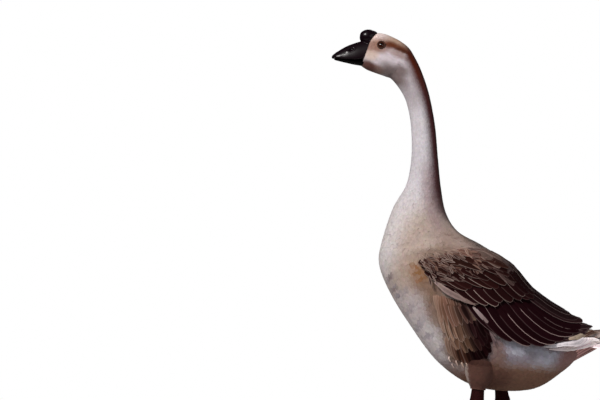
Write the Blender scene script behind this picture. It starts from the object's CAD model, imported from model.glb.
# Yangjiang goose, life size: the looks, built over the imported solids.
# Metres, +Z up, bill towards -X. Sizes in the dictionaries are in mm, as on the solids.
import math

import bmesh
import bpy
import numpy as np
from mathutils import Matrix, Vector


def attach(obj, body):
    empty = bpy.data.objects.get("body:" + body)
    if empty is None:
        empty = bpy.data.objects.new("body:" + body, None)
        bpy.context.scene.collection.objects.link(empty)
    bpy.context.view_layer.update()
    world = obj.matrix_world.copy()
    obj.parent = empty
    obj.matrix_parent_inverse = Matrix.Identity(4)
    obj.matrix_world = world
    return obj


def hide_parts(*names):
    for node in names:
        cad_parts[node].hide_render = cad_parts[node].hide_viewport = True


mm = 0.001
sides = ((-1, "left"), (1, "right"))
chance = np.random.default_rng(11)

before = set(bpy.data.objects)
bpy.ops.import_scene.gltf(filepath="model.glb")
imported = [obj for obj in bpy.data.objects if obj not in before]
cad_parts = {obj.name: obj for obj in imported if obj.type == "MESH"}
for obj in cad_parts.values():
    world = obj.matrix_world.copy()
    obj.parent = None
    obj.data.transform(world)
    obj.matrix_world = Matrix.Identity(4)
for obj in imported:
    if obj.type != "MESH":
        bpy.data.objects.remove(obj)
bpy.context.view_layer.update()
print("frame loaded")

# Cross-sections: back point (x, z), throat, breast or belly point (x, z), half width, and how far the
# widest level sits towards the second point. Places count from the nape, negative over the head.
headRows = [
    (-185.5, 742.0, -203.0, 692.6, 17.6, 0.30),  # root of the bill
    (-174.6, 751.6, -199.0, 690.5, 21.2, 0.20),
    (-160.8, 750.8, -192.2, 686.3, 24.4, 0.14),  # eyes
    (-145.6, 744.9, -182.2, 682.2, 25.6, 0.12),
    (-131.6, 737.4, -170.6, 678.1, 24.8, 0.10),
    (-118.6, 727.4, -158.0, 673.6, 23.0, 0.06),
]
bodyRows = [
    (-109.4, 714.6, -147.2, 668.7, 21.0, 0.0),  # nape to throat
    (-95.0, 685.8, -131.0, 648.0, 20.5, 0.0),
    (-80.5, 642.6, -120.2, 624.6, 20.0, 0.0),
    (-69.8, 586.8, -113.0, 585.0, 20.0, 0.0),
    (-64.4, 527.4, -112.0, 531.0, 21.5, 0.0),
    (-59.0, 473.4, -121.0, 480.6, 27.0, 0.0),
    (-50.0, 428.4, -145.3, 437.4, 39.0, 0.0),  # root of the neck
    (-28.4, 395.1, -165.2, 378.0, 56.0, 0.0),
    (14.0, 371.0, -170.6, 338.4, 72.0, 0.0),  # shoulders
    (57.0, 342.0, -154.3, 292.5, 82.0, 0.0),
    (93.0, 300.0, -118.4, 232.2, 86.0, 0.0),  # widest
    (124.0, 268.0, -62.0, 157.8, 84.0, 0.0),
    (149.0, 246.0, 7.7, 115.2, 74.0, 0.0),  # belly over the legs
    (167.0, 232.0, 101.2, 110.7, 56.0, 0.0),
    (183.0, 221.0, 160.7, 144.0, 34.0, 0.0),
    (199.0, 213.0, 194.0, 176.0, 22.0, 0.0),
    (217.0, 207.0, 216.0, 188.0, 17.0, 0.0),  # root of the tail
]
allRows = np.array(headRows + bodyRows, float)
headStart = -float(len(headRows))
bodyEnd = float(len(bodyRows) - 1)
endGap = 0.03  # the last piece of the body, where no direction can be taken
offLines = (0.5, 179.5)  # degrees just off the back line and the belly line

# How deep the coat is over the skin, in mm, at places along the bird.
coatDepth = {
    "places": (-6, -3, 0, 3, 6, 8, 11, 13, 16),
    "depths": (0.8, 1.3, 1.8, 2.4, 4.0, 5.5, 6.5, 6.0, 3.5),
}


def rowsAt(rows, places):
    # rows between the rows, on a smooth curve through them
    rows = np.asarray(rows, float)
    last = len(rows) - 1
    places = np.clip(places, 0, last - 1e-6)
    here = places.astype(int)
    share = (places - here)[..., None]
    a, b, c, d = (rows[np.clip(here + k, 0, last)] for k in (-1, 0, 1, 2))
    return 0.5 * (
        2 * b + (c - a) * share + (2 * a - 5 * b + 4 * c - d) * share**2
        + (3 * b - a - 3 * c + d) * share**3
    )


def sectionHeight(up, low):
    # the height in a section whose widest level sits low
    return np.where(up * low < 0, (1 - np.abs(low)) * up - low, up - low * (1 - up**2))


def sectionPoints(row, angle, side=1.0):
    # points round the sections that the rows describe
    up = sectionHeight(np.cos(angle), row[..., 5])
    x = (row[..., 0] + row[..., 2]) / 2 + (row[..., 0] - row[..., 2]) / 2 * up
    z = (row[..., 1] + row[..., 3]) / 2 + (row[..., 1] - row[..., 3]) / 2 * up
    return np.stack([x, side * np.sin(angle) * row[..., 4], z], -1)


def rim(places, degrees, side=1.0):
    # points on the outline of the bird, mm, for arrays of places and degrees from the back line
    return sectionPoints(rowsAt(allRows, places - headStart), np.radians(degrees), side)


def unit(vectors):
    return vectors / np.maximum(np.linalg.norm(vectors, axis=-1, keepdims=True), 1e-9)


def shell(places, degrees, side=1.0, lift=0.0):
    # points lift mm over the outline, and the outward directions there
    places, degrees, side, lift = np.broadcast_arrays(
        *(np.asarray(v, float) for v in (places, degrees, side, lift)))
    places = np.clip(places, headStart, bodyEnd - endGap)
    here = rim(places, degrees, side)
    along = rim(places + 0.02, degrees, side) - here
    around = rim(places, degrees + 1.0, side) - here
    out = unit(np.cross(along, around)) * np.sign(side)[..., None]
    return here + out * lift[..., None], out


def stretch(places, degrees):
    # mm along the surface for one place
    return np.linalg.norm(rim(places + 0.05, degrees) - rim(places - 0.05, degrees), axis=-1) / 0.1


def girth(places):
    # mm round the outline at each place
    turn = np.linspace(0, 360, 73)
    loop = rim(np.asarray(places)[:, None], turn[None, :])
    return np.linalg.norm(np.diff(loop, axis=1), axis=-1).sum(-1)


def depthAt(places):
    return np.interp(places, coatDepth["places"], coatDepth["depths"])


# Plumage colours, linear.
tints = {
    "white": (0.60, 0.545, 0.54),
    "neck": (0.575, 0.535, 0.565),
    "beige": (0.375, 0.265, 0.205),
    "sideBreast": (0.19, 0.108, 0.070),
    "greyBelly": (0.60, 0.535, 0.55),
    "yellow": (0.25, 0.115, 0.048),
    "flank": (0.17, 0.098, 0.066),
    "flankDark": (0.030, 0.011, 0.011),
    "vent": (0.36, 0.345, 0.40),
    "soiled": (0.205, 0.105, 0.068),
    "rear": (0.27, 0.145, 0.13),
    "mantle": (0.34, 0.24, 0.20),
    "backBrown": (0.075, 0.042, 0.034),
    "mane": (0.064, 0.017, 0.018),
    "nape": (0.074, 0.012, 0.004),
    "cheek": (0.59, 0.51, 0.54),
    "lores": (0.235, 0.120, 0.086),
    "forehead": (0.86, 0.66, 0.60),
    "crown": (0.57, 0.47, 0.45),
    "brow": (0.098, 0.020, 0.0035),
    "browEdge": (0.050, 0.012, 0.004),
    "throat": (0.20, 0.11, 0.085),
    "underJaw": (0.17, 0.125, 0.12),
    "rump": (0.55, 0.50, 0.49),
    "stain": (0.30, 0.26, 0.30),
    "tan": (0.34, 0.195, 0.110),
    "crease": (0.17, 0.105, 0.085),
    "pinkSide": (0.34, 0.24, 0.245),
    "ventShade": (0.20, 0.150, 0.165),
    "thighBrown": (0.135, 0.066, 0.050),
    "ventLight": (0.52, 0.50, 0.585),
    "cheekTan": (0.56, 0.42, 0.35),
    "gape": (0.115, 0.050, 0.042),
    "neckSide": (0.35, 0.295, 0.31),
    "ruffle": (0.22, 0.145, 0.11),
}

# Soft oval markings in profile, laid on in this order: tint, centre x, z, half length, half height,
# degrees that the long way is turned, softness, strength.
markings = [
    ("beige", -90, 372, 48, 78, -20, 0.9, 0.75),
    ("beige", -118, 300, 40, 56, 0, 0.9, 0.7),
    ("sideBreast", -84, 282, 34, 44, 20, 0.8, 0.8),
    ("greyBelly", -110, 240, 40, 60, 30, 0.8, 0.7),
    ("greyBelly", -40, 150, 44, 30, -40, 0.8, 0.8),
    ("mantle", -22, 372, 52, 34, -35, 0.8, 0.9),
    ("yellow", -103, 328, 19, 19, 0, 1.0, 0.4),
    ("yellow", -109, 337, 11, 3.5, -30, 1.4, 0.8),
    ("yellow", -108, 328, 14, 3, 12, 1.4, 0.85),
    ("yellow", -100, 319, 10, 3.5, 38, 1.4, 0.85),
    ("ruffle", -72, 361, 38, 11, 6, 1.2, 0.85),
    ("ruffle", -17, 385, 17, 10, -35, 1.2, 0.75),
    ("mantle", -62, 418, 18, 10, -20, 1.2, 0.35),
    ("sideBreast", -77, 268, 18, 30, 8, 1.1, 0.8),
    ("ruffle", -76, 281, 13, 9, 70, 1.0, 0.6),
    ("ruffle", -72, 244, 15, 9, 60, 1.0, 0.5),
    ("stain", -156, 316, 10, 5, 70, 1.0, 0.5),
    ("stain", -148, 301, 9, 4, 62, 1.0, 0.7),
    ("stain", -141, 289, 8, 3.5, 62, 1.0, 0.8),
    ("stain", -131, 290, 12, 4, 68, 0.9, 0.45),
    ("crease", -49, 393, 8, 1.8, -5, 1.2, 0.6),
    ("crease", -64, 378, 8, 1.6, 4, 1.2, 0.4),
    ("crease", -41, 386, 5, 1.8, -30, 1.2, 0.5),
    ("crease", -74, 459, 4, 4, 0, 1.2, 0.55),
    ("crease", -78, 447, 4, 2, 0, 1.2, 0.45),
    ("pinkSide", -77, 460, 16, 60, 8, 1.0, 0.7),
    ("stain", -120, 262, 13, 5, 64, 0.9, 0.5),
    ("stain", -104, 233, 12, 5, 60, 0.9, 0.55),
    ("stain", -88, 214, 11, 6, 40, 0.9, 0.5),
    ("stain", -66, 190, 14, 5, 48, 0.9, 0.55),
    ("stain", -47, 168, 12, 6, 44, 0.9, 0.5),
    ("crease", -50, 157, 20, 11, -45, 1.2, 0.42),
    ("crease", -154, 319, 8, 3.4, 70, 1.0, 0.45),
    ("crease", -147, 299, 7, 2.6, 60, 1.0, 0.4),
    ("ruffle", -50, 181, 17, 8, -45, 1.2, 0.75),
    ("flank", -38, 172, 15, 10, -45, 1.0, 0.7),
    ("flank", -24, 222, 42, 66, 25, 0.5, 0.95),
    ("flankDark", 9, 195, 26, 43, 12, 0.4, 0.97),
    ("vent", 94, 183, 84, 29, -8, 0.8, 1.0),
    ("ventShade", 60, 168, 34, 13, -10, 1.0, 0.6),
    ("ventLight", 60, 191, 19, 9, -14, 1.0, 0.9),
    ("ventLight", 134, 170, 24, 10, 8, 1.0, 0.45),
    ("ventShade", 90, 177, 12, 8, 0, 1.2, 0.4),
    ("ventShade", 130, 191, 18, 8, -12, 1.2, 0.85),
    ("ventShade", 38, 188, 13, 26, 10, 1.0, 0.75),
    ("ventShade", 76, 204, 34, 6, -20, 1.2, 0.5),
    ("soiled", 30, 182, 14, 30, 12, 0.9, 0.6),
    ("rear", 180, 168, 50, 30, 35, 0.8, 0.95),
    ("soiled", 70, 126, 130, 34, -6, 0.7, 0.97),
    ("soiled", 8, 134, 32, 30, 0, 0.7, 0.9),
    ("thighBrown", 22, 138, 34, 24, 0, 0.9, 0.9),
    ("rump", 190, 214, 50, 12, 0, 0.8, 0.7),
    ("cheek", -158, 702, 32, 20, -8, 0.8, 1.0),
    ("forehead", -174, 741, 20, 14, 35, 1.0, 0.9),
    ("lores", -182, 727, 24, 13, 8, 1.1, 0.9),
    ("crown", -150, 744, 30, 13, -22, 0.8, 0.85),
    ("lores", -166, 729, 16, 14, 0, 0.8, 0.6),
    ("tan", -133, 732, 27, 10, -27, 0.9, 0.75),
    ("brow", -136, 724.5, 26, 6.4, -21, 1.3, 0.9),
    ("brow", -153, 730.5, 11, 6, -8, 1.2, 0.8),
    ("browEdge", -128, 719, 17, 3.4, -22, 0.9, 0.8),
    ("cheekTan", -187, 711, 13, 9, 0, 1.0, 0.75),
    ("throat", -184, 688, 26, 8.5, -16, 0.8, 0.9),
    ("gape", -191, 693, 13, 8, -35, 1.0, 0.95),
    ("neckSide", -112, 655, 20, 36, 14, 1.1, 0.7),
    ("underJaw", -145.5, 676.5, 27.5, 12.5, -42, 1.0, 0.95),
    ("underJaw", -132, 685, 13, 9, -30, 1.2, 0.9),
    ("lores", -137, 713, 18, 6, -22, 1.2, 0.65),
]

# The dark line down the back of the neck, then the brown back: how many degrees from the back line it is
# full, where it has faded out, and how strong it is.
mane = {
    "places": (-3.0, -2.0, -1.0, -0.3, 1.0, 3.0, 5.0, 5.9, 6.4, 7.1, 8.0, 10.0, 12.5, 13.6),
    "full": (4, 8, 18, 44, 52, 46, 38, 22, 6, 5, 20, 45, 50, 45),
    "faded": (20, 34, 56, 92, 104, 94, 90, 68, 34, 28, 54, 78, 80, 70),
    "strength": (0.0, 0.35, 0.75, 1.0, 1.0, 1.0, 0.98, 0.9, 0.85, 0.85, 0.9, 0.95, 0.9, 0.0),
    # places where the brown back takes over and where the red of the nape ends; the line is darkest,
    # by this share, up to these degrees
    "backFrom": 6.8, "redEnds": (0.2, 2.6), "darkShare": 0.45, "darkDegrees": (4, 46),
}
whiteFrom = (4.5, 6.6)  # places between which the neck's colour turns into the body's


def smooth(low, high, values):
    share = np.clip((values - low) / (high - low), 0, 1)
    return share * share * (3 - 2 * share)


def mixed(first, second, share):
    return np.array(first) * (1 - share) + np.array(second) * share


def plumage(places, degrees, points):
    # the bird's colour at points of its outline, the same on both sides
    x, z = points[..., 0], points[..., 2]
    colour = mixed(tints["neck"], tints["white"], smooth(*whiteFrom, places)[..., None])
    for name, cx, cz, a, b, turn, soft, strength in markings:
        c, s = math.cos(math.radians(turn)), math.sin(math.radians(turn))
        u, v = (x - cx) * c + (z - cz) * s, -(x - cx) * s + (z - cz) * c
        far = np.hypot(u / a, v / b)
        amount = (strength * (1 - smooth(1 - soft / 2, 1 + soft / 2, far)))[..., None]
        colour = mixed(colour, tints[name], amount)
    full, faded, strength = (
        np.interp(places, mane["places"], mane[key]) for key in ("full", "faded", "strength"))
    dark = np.where((places < mane["backFrom"])[..., None], tints["mane"], tints["backBrown"])
    dark = mixed(dark, tints["nape"], (1 - smooth(*mane["redEnds"], places))[..., None])
    darkShare = mane["darkShare"]
    dark = dark * (darkShare + (1 - darkShare) * smooth(*mane["darkDegrees"], degrees))[..., None]
    return mixed(colour, dark, ((1 - smooth(full, faded, degrees)) * strength)[..., None])


def unwrap(places, degrees, side):
    # the skin's own unwrap: left half over right half, nape to tail along u
    u = 0.02 + 0.96 * (places - headStart) / (bodyEnd - headStart)
    v = 0.5 - np.sign(side) * (0.01 + 0.48 * np.clip(degrees, 0, 180) / 180)
    return u, v


def addObject(name, data):
    made = bpy.data.objects.new(name, data)
    bpy.context.scene.collection.objects.link(made)
    return made


def fillMesh(name, points, loops, sizes):
    # a smooth mesh from points in mm, the faces' corners in a row and each face's number of corners
    mesh = bpy.data.meshes.new(name)
    mesh.vertices.add(len(points))
    mesh.vertices.foreach_set("co", (np.asarray(points, np.float32) * mm).ravel())
    mesh.loops.add(len(loops))
    mesh.loops.foreach_set("vertex_index", loops.astype(np.int32))
    mesh.polygons.add(len(sizes))
    starts = np.concatenate([[0], np.cumsum(sizes)[:-1]])
    mesh.polygons.foreach_set("loop_start", starts.astype(np.int32))
    mesh.update(calc_edges=True)
    mesh.polygons.foreach_set("use_smooth", np.full(len(sizes), True))
    return addObject(name, mesh)


def pointValues(thing, name, values):
    kind = "FLOAT_COLOR" if values.ndim == 2 else "FLOAT"
    layer = thing.data.attributes.new(name, kind, "POINT")
    if kind == "FLOAT_COLOR":
        values = np.concatenate([values, np.ones((len(values), 1))], 1)
        layer.data.foreach_set("color", values.astype(np.float32).ravel())
    else:
        layer.data.foreach_set("value", values.astype(np.float32))


def pointMap(thing, name, u, v):
    layer = thing.data.uv_layers.new(name=name)
    order = np.empty(len(thing.data.loops), np.int32)
    thing.data.loops.foreach_get("vertex_index", order)
    places2d = np.stack([u, v], -1).reshape(-1, 2)
    layer.data.foreach_set("uv", places2d[order].astype(np.float32).ravel())


def finishPiece(thing, paint, slot, *nodes):
    # nodes are the solids that the piece takes the place of
    thing.data.materials.clear()
    thing.data.materials.append(paint)
    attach(thing, "root")
    if nodes:
        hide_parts(*nodes)
    thing.data.calc_loop_triangles()
    print(thing.name, len(thing.data.loop_triangles), "triangles")


# Shared shader effects


def newGroup(name, inputs, outputs):
    tree = bpy.data.node_groups.new(name, "ShaderNodeTree")
    for kind, label, value in inputs:
        socket = tree.interface.new_socket(label, in_out="INPUT", socket_type=kind)
        socket.default_value = value
    for kind, label in outputs:
        tree.interface.new_socket(label, in_out="OUTPUT", socket_type=kind)
    return tree, tree.nodes.new("NodeGroupInput"), tree.nodes.new("NodeGroupOutput")


def feed(tree, node, inputs):
    # inputs by label or number: an output of another node is linked, anything else is set
    for key, value in inputs.items():
        if isinstance(value, bpy.types.NodeSocket):
            tree.links.new(value, node.inputs[key])
        else:
            node.inputs[key].default_value = value


def addNode(tree, kind, inputs=None, **settings):
    made = tree.nodes.new(kind)
    for key, value in settings.items():
        setattr(made, key, value)
    feed(tree, made, inputs or {})
    return made


def mathNode(tree, operation, *values, clamp=False):
    settings = {"operation": operation, "use_clamp": clamp}
    return addNode(tree, "ShaderNodeMath", dict(enumerate(values)), **settings).outputs[0]


def softRange(tree, value, fromRange, toRange=(0.0, 1.0)):
    return addNode(tree, "ShaderNodeMapRange", {
        "Value": value, "From Min": fromRange[0], "From Max": fromRange[1],
        "To Min": toRange[0], "To Max": toRange[1]}, interpolation_type="SMOOTHSTEP").outputs[0]


def mixColours(tree, factor, first, second):
    sockets = {"Factor": factor, 6: first, 7: second}
    return addNode(tree, "ShaderNodeMix", sockets, data_type="RGBA").outputs[2]


def pointLayer(tree, name):
    return addNode(tree, "ShaderNodeAttribute", attribute_name=name)


def barbGroup():
    # fine slanted barbs and a shaft, from the feather's own map: across and along, in mm
    tree, given, put = newGroup(
        "featherBarbs",
        [
            ("NodeSocketFloat", "Spacing", 0.6), ("NodeSocketFloat", "Slant", 1.1),
            ("NodeSocketFloat", "Shaft", 0.35)],
        [("NodeSocketFloat", "Height"), ("NodeSocketFloat", "Shaft")],
    )
    fullTurn, shaftHeight = 6.2832, 2.0
    lay = addNode(tree, "ShaderNodeUVMap", uv_map="barbs")
    split = addNode(tree, "ShaderNodeSeparateXYZ", {0: lay.outputs[0]})
    across = mathNode(tree, "ABSOLUTE", split.outputs[0])
    slant = mathNode(tree, "MULTIPLY", across, given.outputs["Slant"])
    slanted = mathNode(tree, "SUBTRACT", split.outputs[1], slant)
    turns = mathNode(tree, "DIVIDE", slanted, given.outputs["Spacing"])
    wave = mathNode(tree, "SINE", mathNode(tree, "MULTIPLY", turns, fullTurn))
    wave = mathNode(tree, "MULTIPLY", mathNode(tree, "ADD", wave, 1.0), 0.5)
    away = mathNode(tree, "DIVIDE", across, given.outputs["Shaft"])
    near = mathNode(tree, "SUBTRACT", 1.0, away, clamp=True)
    height = mathNode(tree, "MAXIMUM", wave, mathNode(tree, "MULTIPLY", near, shaftHeight))
    feed(tree, put, {"Height": height, "Shaft": near})
    return tree


def mottleGroup():
    # slow and fine unevenness over the whole surface, as a factor round 1
    tree, given, put = newGroup(
        "mottle",
        [("NodeSocketFloat", "Scale", 60.0), ("NodeSocketFloat", "Amount", 0.2)],
        [("NodeSocketFloat", "Factor")],
    )
    where = addNode(tree, "ShaderNodeTexCoord")
    noise = addNode(tree, "ShaderNodeTexNoise", {
        "Vector": where.outputs["Object"], "Scale": given.outputs["Scale"], "Detail": 4.0})
    centred = mathNode(tree, "SUBTRACT", noise.outputs["Fac"], 0.5)
    scaled = mathNode(tree, "MULTIPLY", centred, given.outputs["Amount"])
    feed(tree, put, {"Factor": mathNode(tree, "ADD", scaled, 1.0)})
    return tree


def shadeGroup():
    # a colour times a factor
    tree, given, put = newGroup(
        "shade", [("NodeSocketColor", "Color", (1, 1, 1, 1)), ("NodeSocketFloat", "Factor", 1.0)],
        [("NodeSocketColor", "Color")],
    )
    scale = addNode(
        tree, "ShaderNodeVectorMath", {0: given.outputs["Color"], "Scale": given.outputs["Factor"]},
        operation="SCALE")
    feed(tree, put, {"Color": scale.outputs[0]})
    return tree


groups = {"barbs": barbGroup(), "mottle": mottleGroup(), "shade": shadeGroup()}


def placeGroup(tree, name, **values):
    return addNode(tree, "ShaderNodeGroup", values, node_tree=groups[name])


def newMaterial(name, roughness, sockets):
    made = bpy.data.materials.new(name)
    made.use_nodes = True
    shader = made.node_tree.nodes["Principled BSDF"]
    feed(made.node_tree, shader, {"Roughness": roughness, **sockets})
    return made, made.node_tree, shader


def setColour(tree, shader, colour, factor):
    # the material's colour: a colour times its unevenness
    shaded = placeGroup(tree, "shade", Color=colour, Factor=factor)
    feed(tree, shader, {"Base Color": shaded.outputs[0]})


def setBump(tree, shader, height, strength, depth):
    # depth in mm
    bump = addNode(
        tree, "ShaderNodeBump", {"Strength": strength, "Distance": depth * mm, "Height": height})
    feed(tree, shader, {"Normal": bump.outputs[0]})


# Fringe is the colour of the pale edge and fringeWidth its width in mm; barbs are spacing mm apart and
# bumpDepth mm deep; the shaft's and the soft edge's shades are factors on the feather's own colour.
featherLooks = {
    "contourFeathers": {
        "fringe": (0.60, 0.50, 0.44), "fringeWidth": 0.9, "roughness": 0.8, "spacing": 0.5,
        "bumpDepth": 0.10, "shaftShade": 1.0, "softEdge": 1.06, "sheen": 0.03},
    "wingCoverts": {
        "fringe": (0.50, 0.38, 0.33), "fringeWidth": 1.0, "roughness": 0.66, "spacing": 0.7,
        "bumpDepth": 0.14, "shaftShade": 1.2, "softEdge": 1.7, "sheen": 0.0},
    "flightFeathers": {
        "fringe": (0.42, 0.30, 0.28), "fringeWidth": 1.1, "roughness": 0.6, "spacing": 0.8,
        "bumpDepth": 0.16, "shaftShade": 1.5, "softEdge": 1.4, "sheen": 0.0},
}
# The same for all feathers: shade between the barbs and what a barb adds, unevenness, how far the soft
# edge and the fringe reach in fringe widths, bump and gloss.
featherDetail = {
    "groove": 0.90, "barb": 0.16, "mottle": {"Scale": 90.0, "Amount": 0.3}, "softReach": 4.5,
    "fringeReach": (0.55, 1.25), "bump": 0.5, "gloss": 0.03, "glossTint": (1.0, 0.5, 0.5, 1.0),
}


def featherMaterial(name):
    look, detail = featherLooks[name], featherDetail
    made, tree, shader = newMaterial(name, look["roughness"], {
        "Sheen Weight": look["sheen"], "Specular IOR Level": detail["gloss"],
        "Specular Tint": detail["glossTint"]})
    base, edge, fringe = (pointLayer(tree, layer) for layer in ("plumage", "edge", "fringe"))
    barbs = placeGroup(tree, "barbs", Spacing=look["spacing"])
    mottle = placeGroup(tree, "mottle", **detail["mottle"])
    fine = mathNode(tree, "MULTIPLY_ADD", barbs.outputs["Height"], detail["barb"], detail["groove"])
    shaft = mathNode(tree, "MULTIPLY_ADD", barbs.outputs["Shaft"], look["shaftShade"] - 1.0, 1.0)
    softReach = look["fringeWidth"] * detail["softReach"]
    soft = softRange(tree, edge.outputs["Fac"], (0.0, softReach), (look["softEdge"], 1.0))
    factor = mathNode(tree, "MULTIPLY", fine, mottle.outputs["Factor"])
    factor = mathNode(tree, "MULTIPLY", mathNode(tree, "MULTIPLY", factor, shaft), soft)
    shaded = placeGroup(tree, "shade", Color=base.outputs["Color"], Factor=factor)
    reach = [look["fringeWidth"] * share for share in detail["fringeReach"]]
    band = softRange(tree, edge.outputs["Fac"], reach, (1.0, 0.0))
    mask = mathNode(tree, "MULTIPLY", band, fringe.outputs["Fac"])
    mixed = mixColours(tree, mask, shaded.outputs[0], (*look["fringe"], 1))
    feed(tree, shader, {"Base Color": mixed})
    setBump(tree, shader, barbs.outputs["Height"], detail["bump"], look["bumpDepth"])
    return made


contourPaint, covertPaint, flightPaint = (featherMaterial(name) for name in featherLooks)


# The skin, under the coat

skinShape = {"rings": 260, "segments": 112, "shade": 0.92}


def closedTube(rings, segments):
    # loops and face sizes of a tube with both ends closed
    i, k = np.meshgrid(np.arange(rings - 1), np.arange(segments), indexing="ij")
    a, b = i * segments + k, i * segments + (k + 1) % segments
    quads = np.stack([a, b, b + segments, a + segments], -1).reshape(-1, 4)
    caps = [np.arange(segments)[::-1], (rings - 1) * segments + np.arange(segments)]
    loops = np.concatenate([quads.ravel(), *caps])
    return loops, np.concatenate([np.full(len(quads), 4), [segments, segments]])


def outward(thing):
    shape = bmesh.new()
    shape.from_mesh(thing.data)
    bmesh.ops.recalc_face_normals(shape, faces=shape.faces)
    shape.to_mesh(thing.data)
    shape.free()


def buildSkin():
    rings, segments = skinShape["rings"], skinShape["segments"]
    places = np.linspace(headStart, bodyEnd - endGap, rings)
    turn = np.arange(segments) * 360 / segments
    side = np.where(turn <= 180, -1.0, 1.0)
    degrees = np.where(turn <= 180, turn, 360 - turn)
    p, d = np.meshgrid(places, degrees, indexing="ij")
    s = np.broadcast_to(side, p.shape)
    outline = rim(p, d, s)
    out = shell(p, np.clip(d, *offLines), s)[1]
    points = outline - out * depthAt(p)[..., None]
    made = fillMesh("skin", points.reshape(-1, 3), *closedTube(rings, segments))
    outward(made)
    colour = plumage(p, d, outline) * skinShape["shade"]
    pointValues(made, "plumage", colour.reshape(-1, 3))
    pointMap(made, "OFBake", *unwrap(p, d, s))
    return made


def skinMaterial():
    made, tree, shader = newMaterial(
        "downySkin", 0.85, {"Sheen Weight": 0.15, "Specular IOR Level": 0.15})
    base = pointLayer(tree, "plumage")
    mottle = placeGroup(tree, "mottle", Scale=240.0, Amount=0.35)
    setColour(tree, shader, base.outputs["Color"], mottle.outputs["Factor"])
    setBump(tree, shader, mottle.outputs["Factor"], 0.6, 0.3)
    return made


downySkin = skinMaterial()
finishPiece(buildSkin(), downySkin, "body_feathers", "torso", "neck", "head")
print("skin built")


# Feathers. One table holds any number of them, as columns.

columns = (
    "rootPlace", "rootDegrees", "tipPlace", "tipDegrees", "halfWidth", "rootLift", "tipLift", "tilt",
    "side")
# Stations along a vane and points across it, as shares; the shaft stands proud by its share of the
# thickness.
vaneShapes = {
    "small": {
        "stations": (0.0, 0.3, 0.6, 0.84, 0.95),
        "across": (-1.0, 0.0, 1.0), "under": (0.0,), "shaft": 0.0,
    },
    "large": {
        "stations": (0.0, 0.1, 0.22, 0.36, 0.5, 0.64, 0.76, 0.86, 0.93, 0.975),
        "across": (-1.0, -0.55, -0.09, 0.0, 0.09, 0.55, 1.0), "under": (0.4, -0.4), "shaft": 0.45,
    },
}


def vaneWidth(shares, blunt, root):
    # half width as a share of the widest, which is at swell; it would come to nothing at end; blunt
    # above 3 gives rounder tips
    swell, end = 0.5, 1.015
    low = root + (1 - root) * np.sin(np.pi / 2 * np.clip(shares / swell, 0, 1))
    high = np.sqrt(np.clip(1 - np.clip((shares - swell) / (end - swell), 0, 1) ** blunt, 0, 1))
    return np.where(shares < swell, low, high)


def vaneFaces(rings, around):
    # loops and face sizes of one feather: a closed tube that ends in a point
    faces = [list(range(around))[::-1]]
    for ring in range(rings - 1):
        for k in range(around):
            a, b = ring * around + k, ring * around + (k + 1) % around
            faces.append([a, b, b + around, a + around])
    last = (rings - 1) * around
    faces += [[last + k, last + (k + 1) % around, rings * around] for k in range(around)]
    return np.array([v for f in faces for v in f]), np.array([len(f) for f in faces])


def bodySurface(places, degrees, side, lift):
    # past the back or belly line a feather goes on over the other side
    mirrored = np.where((degrees < 0) | (degrees > 180), -1.0, 1.0) * side
    folded = np.where(degrees > 180, 360 - degrees, np.abs(degrees))
    nearLine = 0.8
    return shell(places, np.clip(folded, nearLine, 180 - nearLine), mirrored, lift)


def stationsOf(shape):
    return np.array(vaneShapes[shape]["stations"] + (1.0,))[None, :]


def layFeathers(table, shape, settings, surface=bodySurface):
    # centre line, outward and sideways directions of every feather at each station
    t = {key: np.asarray(table[key], float)[:, None] for key in columns}
    stations = stationsOf(shape)
    count = len(t["side"])

    def track(share):
        # root and tip may lie at other heights; leaves is how soon the vane is clear of its root
        share = np.broadcast_to(share, (count, share.shape[1]))
        place = t["rootPlace"] + (t["tipPlace"] - t["rootPlace"]) * share
        degrees = t["rootDegrees"] + (t["tipDegrees"] - t["rootDegrees"]) * share
        out = np.clip(share * settings["leaves"], 0, 1) ** 0.8
        lift = t["rootLift"] + (t["tipLift"] - t["rootLift"]) * out + settings["rise"](place)
        lift = lift + settings["rake"] * t["halfWidth"] * (share - 1)
        return *surface(place, degrees, t["side"], lift), out

    centre, outwards, out = track(stations)
    ahead = track(stations + 0.02)[0]
    along = unit(ahead - centre)
    across = unit(np.cross(outwards, along)) * t["side"][..., None]
    normal = unit(np.cross(along, across))
    normal = normal * np.sign(np.sum(normal * outwards, -1, keepdims=True))
    u, v = unwrap(t["rootPlace"], np.abs(t["rootDegrees"]), t["side"])
    return {
        "centre": centre, "normal": normal, "across": across,
        "lean": np.tan(np.radians(t["tilt"])) * out, "halfWidth": t["halfWidth"], "u": u, "v": v,
    }


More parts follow.
